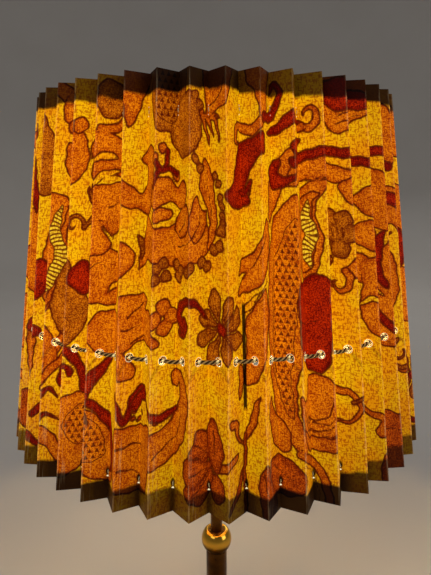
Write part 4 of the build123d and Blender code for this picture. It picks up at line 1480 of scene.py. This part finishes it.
@dataclass
class PleatedShade:
    """Pleated cloth, its backing, hems, lacing and stitches.

    A fold is numbered from the front ridge: even numbers are ridges, odd ones valleys. Its
    radius changes evenly from the lower edge to the upper one.
    """

    pleats: int = 44
    face: float = 15.0
    bottom: float = 265.0
    height: float = 235.0
    bottom_ridge: float = 152.5
    top_ridge: float = 124.0
    first_ridge: float = 0.0436
    cloth: float = 0.6
    hem_top: float = 11.0
    hem_bottom: float = 12.0
    lacing_height: float = 84.0
    lacing_share: float = 0.48
    hole: float = 2.25
    ring_heights: tuple[float, float] = (15.0, 215.0)
    sheets: int = 4
    rows: int = 218

    def __post_init__(self) -> None:
        """Works out the angles and the slanted height."""
        self.half_pitch = pi / self.pleats
        self.slant = hypot(self.height, self.bottom_ridge - self.top_ridge)

    def edge_radius(self, fold: np.ndarray, ridge: float, inset: np.ndarray) -> np.ndarray:
        """Radius of folds at one edge, inset square to the cloth.

        A valley lies where a face of the given width, from the ridge, ends half a pitch round.
        An inset moves a fold inwards by the inset over the sine of the fold's half angle.
        """
        a = self.half_pitch
        valley = ridge * cos(a) - sqrt(self.face**2 - (ridge * sin(a)) ** 2)
        at_ridge = np.arctan2(valley * sin(a), ridge - valley * cos(a))
        at_valley = np.arctan2(ridge * sin(a), ridge * cos(a) - valley)
        odd = fold % 2 == 1
        return np.where(odd, valley - inset / np.sin(at_valley), ridge - inset / np.sin(at_ridge))

    def fold_point(self, fold: np.ndarray, t: np.ndarray, inset: np.ndarray) -> np.ndarray:
        """Points on folds in millimetres, with the slight unevenness of hand pleating."""
        low = self.edge_radius(fold, self.bottom_ridge, inset)
        high = self.edge_radius(fold, self.top_ridge, inset)
        share = t / self.height
        around = fold % (2 * self.pleats)
        sway = 0.45 * np.sin(around * 2.4 + 1.3 * np.sin(t * 0.016)) * (0.4 + share * (1 - share))
        radius = low + (high - low) * share + sway
        turn = self.first_ridge + fold * self.half_pitch
        turn = turn + 0.0030 * np.sin(around * 1.7 + t * 0.012)
        return np.stack([radius * np.sin(turn), -radius * np.cos(turn), self.bottom + t + 0 * turn], -1)

    def surface(self, s: np.ndarray, t: np.ndarray, inset: np.ndarray) -> np.ndarray:
        """Points of the pleated cloth: each face is ruled from one fold to the next.

        Args:
            s: Place along the flat cloth in millimetres, 0 at the front ridge.
            t: Height above the lower edge in millimetres.
            inset: Depth behind the cloth's outside in millimetres.

        Returns:
            Points in metres.
        """
        fold = np.floor(s / self.face + 1e-9)
        share = (s / self.face - fold)[..., None]
        first, second = self.fold_point(fold, t, inset), self.fold_point(fold + 1, t, inset)
        return (first + (second - first) * share) * MM

    def stations(self, folds: range, steps: tuple[int, int]) -> np.ndarray:
        """Places along the cloth with one station on each hole's centre.

        Args:
            folds: The folds where faces start.
            steps: Stations from ridge to hole and from hole to valley.

        Returns:
            Sorted places in millimetres.
        """
        centre = self.lacing_share * self.face
        outward = np.concatenate([
            np.linspace(0, centre, steps[0] + 1)[:-1], np.linspace(centre, self.face, steps[1] + 1)
        ])
        faces = [
            fold * self.face + (outward if fold % 2 == 0 else self.face - outward[::-1]) for fold in folds
        ]
        return np.unique(np.round(np.concatenate(faces), 6))

    def punched(
        self, s_line: np.ndarray, t_line: np.ndarray, inset_line: np.ndarray, block: tuple[int, int]
    ) -> tuple[np.ndarray, np.ndarray, np.ndarray, np.ndarray]:
        """Grid on the flat cloth with the round lacing holes left out.

        Around each hole's centre a block of cells is dropped, and the block's rim is moved out
        or in along its own direction until it lies on the hole's circle.

        Args:
            s_line: Stations along the cloth.
            t_line: Heights.
            inset_line: Inset at each height.
            block: Cells from the centre to the block's rim, along and up.

        Returns:
            Places along, heights and insets of the grid, and its quads.
        """
        s, t = np.meshgrid(s_line, t_line)
        inset = np.broadcast_to(inset_line[:, None], s.shape).copy()
        fold = np.floor(s / self.face + 0.5)
        to_ridge = np.where(fold % 2 == 0, s - fold * self.face, s - (fold + 1) * self.face)
        other = np.where(fold % 2 == 0, to_ridge, s - (fold - 1) * self.face)
        reach = np.where(np.abs(to_ridge) <= np.abs(other), to_ridge, other)
        centre = s - reach + np.where(reach < 0, -1, 1) * self.lacing_share * self.face
        column = np.abs(s_line[:, None] - np.unique(np.round(centre[0], 5))[None]).argmin(0)
        row = int(np.abs(t_line - self.lacing_height).argmin())
        keep = np.ones((len(t_line) - 1, len(s_line) - 1), bool)
        along, up = block
        for middle in column:
            if middle - along < 0 or middle + along >= len(s_line):
                continue
            box = (slice(row - up, row + up + 1), slice(middle - along, middle + along + 1))
            ds, dt = s[box] - s_line[middle], t[box] - self.lacing_height
            rim = np.zeros(ds.shape, bool)
            rim[[0, -1], :] = True
            rim[:, [0, -1]] = True
            size = np.maximum(np.hypot(ds, dt), 1e-6)
            s[box] = np.where(rim, s_line[middle] + ds / size * self.hole, s[box])
            t[box] = np.where(rim, self.lacing_height + dt / size * self.hole, t[box])
            keep[row - up : row + up, middle - along : middle + along] = False
        numbers = np.arange(s.size).reshape(s.shape)
        quads = np.stack(
            [numbers[:-1, :-1], numbers[:-1, 1:], numbers[1:, 1:], numbers[1:, :-1]], axis=-1
        )[keep]
        return s, t, inset, quads

    def cloth_piece(
        self, name: str, grid: tuple[np.ndarray, ...], material: bpy.types.Material
    ) -> bpy.types.Object:
        """Piece from a punched grid, holding its place on the flat cloth.

        Args:
            name: The piece's name.
            grid: Places along, heights, insets and quads.
            material: Its finish.

        Returns:
            The piece.
        """
        s, t, inset, quads = grid
        used, numbers = np.unique(quads, return_inverse=True)
        s, t, inset = (each.ravel()[used] for each in (s, t, inset))
        mesh = bpy.data.meshes.new(name)
        mesh.from_pydata(self.surface(s, t, inset).tolist(), [], numbers.reshape(-1, 4).tolist())
        mesh.update()
        around = 2 * self.pleats * self.face
        seen = np.where(s > around / 2 + self.face, s - around, s)
        reach = np.abs((s / self.face + 1) % 2 - 1) * self.face
        store(mesh, "cloth", seen, t, reach)
        fold = np.floor(s[numbers.reshape(-1, 4)].mean(1) / self.face)
        # Each face's side of its ridge and a random number, which the cloth's material uses for painted
        # brightness.
        store(mesh, "facet", 1 - 2 * (fold % 2), np.sin(fold * 12.9898) * 0.5, 0 * fold, domain="FACE")
        return place(name, mesh, material, False)

    def lines_up(self, count: int, near: int, step: float) -> np.ndarray:
        """Heights from edge to edge, evenly spaced, with stations that fit the lacing holes.

        Args:
            count: How many stations in all.
            near: Stations on each side of the lacing that are spaced by step.
            step: Their spacing in millimetres.

        Returns:
            Sorted heights in millimetres.
        """
        band = self.lacing_height + step * np.arange(-near, near + 1)
        share = band[0] / (self.height - (band[-1] - band[0]))
        below = np.linspace(0, band[0], max(2, int(count * share)))[:-1]
        above = np.linspace(band[-1], self.height, max(2, int(count * (1 - share))))[1:]
        return np.concatenate([below, band, above])

    def build_cloth(self, drawing: FloralPrint) -> None:
        """Makes the printed cloth in equal sheets, each wrapped a little over both edges."""
        material = PrintedLinen(height=self.height, top_hem=self.hem_top, bottom_hem=self.hem_bottom,
                                face=self.face).make()
        step, edge = 1.07, 0.15
        heights = self.lines_up(self.rows, 4, step)
        heights = np.concatenate([[0.9, 0.25], heights, [self.height - 0.25, self.height - 0.9]])
        insets = np.zeros(len(heights))
        insets[[0, -1]], insets[[1, -2]] = 1.15, 0.75
        heights[[0, -1]] = edge, self.height - edge
        heights[[1, -2]] = -edge, self.height + edge
        folds = 2 * self.pleats // self.sheets
        names = ("right_front", "right_back", "left_back", "left_front")
        for sheet, name in enumerate(names):
            first = 1 + sheet * folds
            stations = self.stations(range(first, first + folds), (10, 10))
            grid = self.punched(stations, heights, insets, (3, 2))
            piece = self.cloth_piece(f"cloth_{name}", grid, material)
            flat = np.zeros(len(piece.data.vertices) * 3, np.float32)
            piece.data.attributes["cloth"].data.foreach_get("vector", flat)
            s, t = flat.reshape(-1, 3)[:, 0].astype(float), flat.reshape(-1, 3)[:, 1].astype(float)
            found = drawing.fields(s, t)
            store(piece.data, "dye_a", found[0], found[1], found[4])
            store(piece.data, "dye_b", found[2], found[3], found[5])
            store(piece.data, "fill", found[6], found[7], found[8])
            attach(piece, "shade")
            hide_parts("shade_panel_right" if sheet < 2 else "shade_panel_left")
            folds * self.face * MM
            LOG.info("%s: %d faces", piece.name, len(piece.data.polygons))

    def build_backing(self) -> None:
        """Makes the stiff backing behind each half of the cloth."""
        material, gap = Backing().make(), 0.12
        heights = np.concatenate([
            np.linspace(0.3, 78, 8), self.lacing_height + np.array([-2.2, -1.1, 0, 1.1, 2.2]),
            np.linspace(90, self.height - 0.3, 13),
        ])
        for side, name in enumerate(("right", "left")):
            first = 1 + side * self.pleats
            stations = self.stations(range(first, first + self.pleats), (6, 6))
            grid = self.punched(stations, heights, np.full(len(heights), gap), (2, 2))
            piece = self.cloth_piece(f"backing_{name}", grid, material)
            wall = piece.modifiers.new("wall", "SOLIDIFY")
            wall.thickness, wall.offset = (self.cloth - gap) * MM, -1.0
            wall.use_even_offset = True
            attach(piece, "shade")
            self.pleats * self.face * MM
            LOG.info("%s: %d faces", piece.name, len(piece.data.polygons))

    def build_hems(self) -> None:
        """Makes the turned-in hems: a band behind the backing, closed round the shade."""
        material = HemCloth().make()
        front, core, back = self.cloth + 0.10, self.cloth + 0.35, self.cloth + 0.60
        for name, low, high in (
            ("hem_top", self.height - self.hem_top, self.height - 0.3),
            ("hem_bottom", 0.3, self.hem_bottom),
        ):
            s_line = self.stations(range(1, 1 + 2 * self.pleats), (2, 2))[:-1]
            outline = np.array([
                [front, low], [front, high], [core, high + 0.15],
                [back, high], [back, (low + high) / 2], [back, low],
            ])
            s, t = np.meshgrid(s_line, outline[:, 1])
            inset = np.broadcast_to(outline[:, :1], s.shape)
            mesh = sweep_mesh(name, self.surface(s, t, inset), True, True)
            store(mesh, "cloth", s, t, 0 * s)
            piece = place(name, mesh, material, False)
            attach(piece, "shade")
            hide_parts("top_hem" if name == "hem_top" else "bottom_hem")
            2 * self.pleats * self.face * MM
            (high - low) * MM
            LOG.info("%s: %d faces", piece.name, len(piece.data.polygons))

    def lacing_radius(self) -> float:
        """Distance of the lacing holes from the axis in millimetres."""
        s = np.array([self.lacing_share * self.face])
        point = self.surface(s, np.array([self.lacing_height]), np.array([self.cloth / 2])) / MM
        return float(np.hypot(point[0, 0], point[0, 1]))

    def build_lacing(self) -> None:
        """Makes the lacing cord: three strands twisted round a ring that runs through every hole.

        The ring's centre line swells and drops a little over each valley. Each strand circles
        that line once in a lay, and is itself a tube of eight sides.
        """
        middle, lay, strand, orbit = self.lacing_radius(), 9.6, 0.66, 0.60
        turns = round(2 * pi * middle / lay)
        stations, sides = turns * 14, 8
        turn = np.linspace(0, 2 * pi, stations, endpoint=False)
        swell = np.cos(self.pleats * (turn - self.first_ridge - self.half_pitch))
        outward, droop, wander, hidden = 0.25, 0.35, 0.25, 0.62
        radius = middle + outward * swell
        height = self.bottom + self.lacing_height - droop * swell + wander * np.sin(turn * 9)
        # Mask of painted glow for the cord's material: 1 at each hole, 0 where the cord runs across a valley
        # or behind a ridge.
        near = np.clip(1 - np.abs(swell) / hidden, 0, 1)
        lines, marks = [], []
        for number in range(3):
            angle = turns * turn + 2 * pi * number / 3
            r, z = radius + orbit * np.cos(angle), height + orbit * np.sin(angle)
            centre = np.stack([r * np.sin(turn), -r * np.cos(turn), z], -1)
            ahead = np.roll(centre, -1, 0) - np.roll(centre, 1, 0)
            ahead /= np.linalg.norm(ahead, axis=1, keepdims=True)
            out = np.stack([np.sin(turn), -np.cos(turn), 0 * turn], -1)
            side = np.cross(ahead, out)
            side /= np.linalg.norm(side, axis=1, keepdims=True)
            out = np.cross(side, ahead)
            ring = np.linspace(0, 2 * pi, sides, endpoint=False)[None, :, None]
            exposed = np.sin(ring - angle[:, None, None])
            rim = np.cos(ring) * side[:, None] + np.sin(ring) * out[:, None]
            lines.append((centre[:, None] + strand * rim) * MM)
            marks.append(np.stack(np.broadcast_arrays(
                (turn * middle)[:, None], exposed[..., 0], near[:, None]), -1))
        whole = tube_set("lacing_rope", np.array(lines))
        data = np.concatenate([mark.reshape(-1, 3) for mark in marks])
        store(whole, "yarn", data[:, 0], data[:, 1], data[:, 2])
        piece = place("lacing_rope", whole, TwistedCord().make(), True)
        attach(piece, "shade")
        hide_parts("lacing_cord")
        LOG.info("%s: %d faces", piece.name, len(piece.data.polygons))

    def build_stitches(self) -> None:
        """Makes the thread loops at each ring: an oval round the wire and through the valley."""
        material = Thread().make()
        thread, wire_width, proud, rise = 0.3, 3.0, 0.28, 2.15
        nodes = ("bottom_stitches", "top_stitches")
        for name, node, level in zip(("thread_bottom", "thread_top"), nodes, self.ring_heights):
            wire = ring_of("bottom_ring" if level < 100 else "top_ring")[0]
            valley = 2 * np.arange(self.pleats) + 1.0
            outside = self.fold_point(valley, np.full(self.pleats, level), np.zeros(self.pleats))
            skin = np.hypot(outside[:, 0], outside[:, 1]) + proud
            inner = wire - wire_width - thread
            turn = self.first_ridge + valley * self.half_pitch
            lean = 0.5 * np.sin(valley * 5.1)
            u = np.linspace(0, 2 * pi, 28, endpoint=False)
            v = np.linspace(0, 2 * pi, 6, endpoint=False)
            reach = (skin - inner) / 2
            across, around = np.cos(u)[None, :, None], np.sin(u)[None, :, None]
            r = (skin + inner)[:, None, None] / 2 + (reach[:, None, None] + thread * np.cos(v)) * across
            z = (self.bottom + level) + (rise + thread * np.cos(v)) * around + 0 * r
            aside = thread * np.sin(v)[None, None, :] + lean[:, None, None] * around + 0 * r
            angle = turn[:, None, None]
            grid = np.stack([
                r * np.sin(angle) + aside * np.cos(angle), -r * np.cos(angle) + aside * np.sin(angle), z
            ], -1) * MM
            mesh = tube_set(name, grid, flipped=True)
            piece = place(name, mesh, material, True)
            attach(piece, "shade")
            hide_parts(node)
            LOG.info("%s: %d faces", piece.name, len(piece.data.polygons))

    def build(self) -> None:
        """Makes the whole shade."""
        drawing = FloralPrint()
        drawing.draw()
        self.build_cloth(drawing)
        self.build_backing()
        self.build_hems()
        self.build_lacing()
        self.build_stitches()
        wire = DippedWire().make()
        sides = [f"rib_{i}" for i in range(1, 5)] + [f"carrier_arm_{i}" for i in range(1, 5)]
        for node in ["bottom_ring", "top_ring", "fitter_ring", *sides]:
            dress(node, wire)


# ---------------------------------------------------------------- stem, holder, bulb, base


@dataclass
class Stem:
    """Brass rod, ball collar, bush and outer tube."""

    # Painted reflection: the rod and tube take this dark brass tone, which stands in for the dark room that
    # they reflect; the tarnish clouds on top are real tarnish.
    rod_tone: tuple = tone(100, 63, 22)
    rod_dull: tuple = tone(44, 28, 13)

    def build(self) -> None:
        """Makes the stem's pieces at the CAD's sizes."""
        aged = Metal("aged_brass", self.rod_tone, self.rod_dull, 0.24, 0.75, (40.0, 40.0, 14.0)).make()
        polished = PolishedBall().make()
        bright = Metal("bush_brass", tone(150, 106, 48), tone(90, 60, 26), 0.25, 0.5).make()
        rod, low, high = ring_of("inner_rod")
        wall, running_gap, bore, spigot, step = 1.5, 0.05, 6.4, 7.2, 0.2
        turned("upper_rod", "inner_rod", "stem",
               rounded([(rod - wall, low), (rod, low), (rod, high), (rod - wall, high)], 0.4), aged)
        tube, low, high = ring_of("outer_tube")
        ball, foot, top = ring_of("ball_collar")
        shoulder = foot - step
        turned("lower_tube", "outer_tube", "base", rounded(
            [(bore, low), (tube, low), (tube, shoulder), (spigot, shoulder), (spigot, high), (bore, high)],
            0.5), aged)
        turned("ball_knob", "ball_collar", "collar", self.ball_outline(ball, foot, top, spigot), polished)
        bush, low, high = ring_of("collar_bush")
        inside = rod + running_gap
        turned("bush_ring", "collar_bush", "collar",
               rounded([(inside, low), (bush, low), (bush, high), (inside, high)], 0.45), bright)
        dress("rod_guide", aged)

    def ball_outline(self, radius: float, foot: float, top: float, spigot: float) -> np.ndarray:
        """Closed outline of the ball: a circle's arc from foot to lip, a rounded lip, the dish and bore.

        Args:
            radius: The ball's radius.
            foot: Height of its lower end.
            top: Height of its flat top.
            spigot: Radius of the tube's spigot inside it.

        Returns:
            The outline in millimetres.
        """
        flat_above, lip_above, bush, gap = 8.5, 7.4, 6.2, 0.05
        centre = top - flat_above
        first = np.arcsin((foot - centre) / radius)
        last = np.arcsin(lip_above / radius)
        angle = np.linspace(first, last, 40)
        side = np.stack([radius * np.cos(angle), centre + radius * np.sin(angle)], -1)
        lip_r = radius * cos(last)
        curve = np.linspace(0, pi / 2, 10)[1:]
        lip = np.stack([lip_r - 1.7 * (1 - np.cos(curve)) - 0.5 * np.sin(curve),
                        centre + lip_above + 1.1 * np.sin(curve)], -1)
        dish = np.array([[lip[-1, 0] - 0.4, top - 0.02], [bush + 1.0, top - 0.5], [bush + 0.35, top - 0.95],
                         [bush, top - 1.4], [bush, centre - 1.9], [spigot + gap, centre - 1.9],
                         [spigot + gap, foot]])
        return np.vstack([side, lip, dish])


@dataclass
class Holder:
    """Screw lamp holder with its switch key and the ring that clamps the shade."""

    def build(self) -> None:
        """Dresses the holder's CAD nodes."""
        satin = Metal("satin_brass", tone(208, 164, 84), tone(160, 112, 50), 0.3, 0.4).make()
        bright = Metal("contact_brass", tone(228, 184, 100), tone(180, 130, 60), 0.22, 0.3).make()
        steel = Metal("zinc_steel", tone(190, 192, 196), tone(130, 130, 132), 0.3, 0.4).make()
        glaze = Moulded("glazed_porcelain", tone(236, 232, 220), tone(222, 214, 196), 0.18, 0.6).make()
        for node in ("holder_cap", "holder_body", "shade_ring"):
            dress(node, satin)
        for node in ("screw_shell", "centre_contact", "switch_key"):
            dress(node, bright)
        dress("terminal_screws", steel)
        dress("holder_insulator", glaze)


@dataclass
class Bulb:
    """Screw bulb with glowing filaments."""

    glass_wall: float = 0.8
    neck_share: float = 0.24

    def build(self) -> None:
        """Makes the glass and dresses the rest."""
        glass = LitGlass("bulb_glass_lit", tone(26, 20, 12), 0.42, 0.12).make()
        inner = LitGlass("mount_glass", tone(70, 60, 44), 0.5, 0.3).make()
        globe, low, high = ring_of("bulb_glass")
        cap = ring_of("bulb_cap")
        outer, inside = (self.outline(globe, low, high, cap[0] - 0.65, cap[2], inset)
                         for inset in (0.0, self.glass_wall))
        piece = lathe("bulb_envelope", np.vstack([outer, inside[::-1]]), glass, 96)
        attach(piece, "bulb")
        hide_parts("bulb_glass")
        self.screw_cap()
        dress("filament_mount", inner)
        dress("filaments", Filament().make())
        dress("bulb_insulator", Moulded("black_vitrite", tone(20, 20, 22), tone(34, 32, 34), 0.15).make())
        dress("bulb_tip", Metal("solder", tone(190, 188, 184), tone(120, 118, 114), 0.4, 0.5).make())

    def outline(
        self, globe: float, low: float, high: float, neck: float, rim: float, inset: float
    ) -> np.ndarray:
        """Half outline of the glass: straight neck, flare, then a circle's arc to the crown.

        Args:
            globe: Radius of the globe.
            low: Height of the neck's foot.
            high: Height of the crown.
            neck: Radius of the neck.
            rim: Height where the flare starts.
            inset: Depth into the glass.

        Returns:
            Points from the foot to the crown.
        """
        centre, radius = high - globe, globe - inset
        join = -pi * self.neck_share
        start = (radius * cos(join), centre + radius * sin(join))
        u = np.linspace(0, 1, 12)[:-1]
        flare = np.stack([neck - inset + (start[0] - neck + inset) * u**1.7, rim + (start[1] - rim) * u], -1)
        angle = np.linspace(join, pi / 2 - 0.01, 30)
        crown = np.stack([radius * np.cos(angle), centre + radius * np.sin(angle)], -1)
        return np.vstack([[neck - inset, low], flare, crown])

    def screw_cap(self) -> None:
        """Makes the rolled-thread cap: the outline's radius dips evenly by a rounded thread."""
        metal = Metal("rolled_cap", tone(206, 204, 200), tone(150, 148, 142), 0.28, 0.3).make()
        radius, low, high = ring_of("bulb_cap")
        z = np.linspace(low, high, 60)
        groove = 0.28 * (1 - np.cos((z - low) / 3.62 * 2 * pi)) * (z < high - 4)
        outer = np.stack([radius - groove, z], -1)
        inner = np.array([[radius - 0.6, high], [radius - 0.6, low]])
        piece = lathe("bulb_screw_cap", np.vstack([outer, inner]), metal, 96)
        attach(piece, "bulb")
        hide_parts("bulb_cap")


@dataclass
class Base:
    """Weighted round base of spun brass."""

    def build(self) -> None:
        """Dresses the base's CAD nodes."""
        spun = Metal("spun_brass", tone(186, 138, 62), tone(112, 76, 34), 0.26, 0.6,
                     (14.0, 14.0, 1500.0)).make()
        steel = Metal("nut_steel", tone(186, 188, 192), tone(120, 120, 122), 0.32, 0.5).make()
        iron = Metal("cast_iron", tone(60, 58, 58), tone(92, 64, 46), 0.62, 0.8,
                     (400.0, 400.0, 400.0), 0.6).make()
        rubber = Moulded("black_rubber", tone(24, 24, 25), tone(40, 40, 41), 0.55).make()
        for node, finish in {
            "base_shell": spun, "stem_flange": spun, "base_weight": iron, "stem_washer": steel,
            "stem_locknut": steel, "cord_grommet": rubber, "felt_pad": Felt().make(),
        }.items():
            dress(node, finish)


# ---------------------------------------------------------------- room


@dataclass
class Studio:
    """Pale floor and backdrop, soft light, the bulb's own light and the camera."""

    lens: float = 32.54
    distance: float = 0.400
    rise: float = 0.1704
    pitch: float = 10.0
    roll: float = -0.0041
    shade_foot: float = 0.265
    sky: float = 0.28
    bulb_power: float = 6.8
    bulb_colour: tuple[float, float, float] = (1.0, 0.72, 0.38)
    filament_radius: float = 0.012

    def build(self) -> None:
        """Makes the room."""
        self.make_camera()
        self.make_floor()
        self.make_lights()

    def make_camera(self) -> None:
        """Places the camera level with the shade's upper half, looking slightly down."""
        data = bpy.data.cameras.new("camera")
        data.lens, data.sensor_width = self.lens, 36.0
        data.clip_start = 0.01
        camera = bpy.data.objects.new("camera", data)
        camera.matrix_world = (
            Matrix.Translation((0, -self.distance, self.shade_foot + self.rise))
            @ Matrix.Rotation(radians(90 - self.pitch), 4, "X")
            @ Matrix.Rotation(self.roll, 4, "Z")
        )
        bpy.context.scene.collection.objects.link(camera)
        bpy.context.scene.camera = camera

    def make_floor(self) -> None:
        """Makes a plain pale bowl: flat near the lamp, rising smoothly far away on every side."""
        turn = np.linspace(0, 2 * pi, 96, endpoint=False)[:, None]
        reach = np.concatenate([[0.001], np.linspace(0.3, 2.4, 8), np.linspace(2.5, 5.2, 28)])[None, :]
        rise = 5.4 * (np.maximum(reach - 2.4, 0.0) / 2.8) ** 2.2
        grid = np.stack([reach * np.cos(turn), reach * np.sin(turn), rise + 0 * turn], -1)
        mesh = sweep_mesh("floor", grid, True, False)
        graph = Graph("pale_floor")
        cloud = graph.noise(graph.object_point(), 3.0, 3.0)
        material = graph.finish(
            Base_Color=graph.mix(cloud, tone(206, 201, 193), tone(198, 192, 183)),
            Roughness=(cloud * 0.1 + 0.75).within(),
        )
        place("floor", mesh, material, True)

    def area(self, name: str, spot: tuple, size: float, power: float, colour: tuple) -> None:
        """Adds a square soft light that looks at the shade.

        Args:
            name: The light's name.
            spot: Where it hangs, in metres.
            size: Its side.
            power: Its power in watts.
            colour: Its linear colour.
        """
        data = bpy.data.lights.new(name, "AREA")
        data.shape, data.size, data.energy, data.color = "SQUARE", size, power, colour
        light = bpy.data.objects.new(name, data)
        light.location = spot
        aim = Vector((0, 0, 0.3)) - Vector(spot)
        light.rotation_euler = aim.to_track_quat("-Z", "Y").to_euler()
        bpy.context.scene.collection.objects.link(light)

    def make_lights(self) -> None:
        """Adds dim studio light and the warm lamp inside the bulb."""
        world = bpy.data.worlds.new("room")
        world.use_nodes = True
        background = world.node_tree.nodes["Background"]
        background.inputs["Color"].default_value = tone(226, 226, 232)
        background.inputs["Strength"].default_value = self.sky
        bpy.context.scene.world = world
        bpy.context.scene.view_settings.view_transform = "Standard"
        self.area("key", (-1.3, -1.9, 2.1), 1.6, 11.0, (1.0, 0.97, 0.93))
        self.area("fill", (2.0, -1.0, 1.0), 1.2, 8.0, (0.90, 0.95, 1.0))
        self.area("rim", (0.6, 2.2, 1.9), 1.5, 10.0, (1.0, 0.98, 0.95))
        data = bpy.data.lights.new("bulb_light", "POINT")
        data.energy, data.color = self.bulb_power, self.bulb_colour
        data.shadow_soft_size = self.filament_radius
        light = bpy.data.objects.new("bulb_light", data)
        _, low, high = ring_of("filaments")
        light.location = (0, 0, (low + high) / 2 * MM)
        bpy.context.scene.collection.objects.link(light)


def main() -> None:
    """Builds the lamp and its room."""
    logging.basicConfig(level=logging.INFO, format="%(name)s %(message)s")
    Studio().build()
    for assembly in (PleatedShade(), Stem(), Holder(), Bulb(), Base()):
        assembly.build()
        LOG.info("%s done", type(assembly).__name__)


if __name__ == "__main__":
    main()
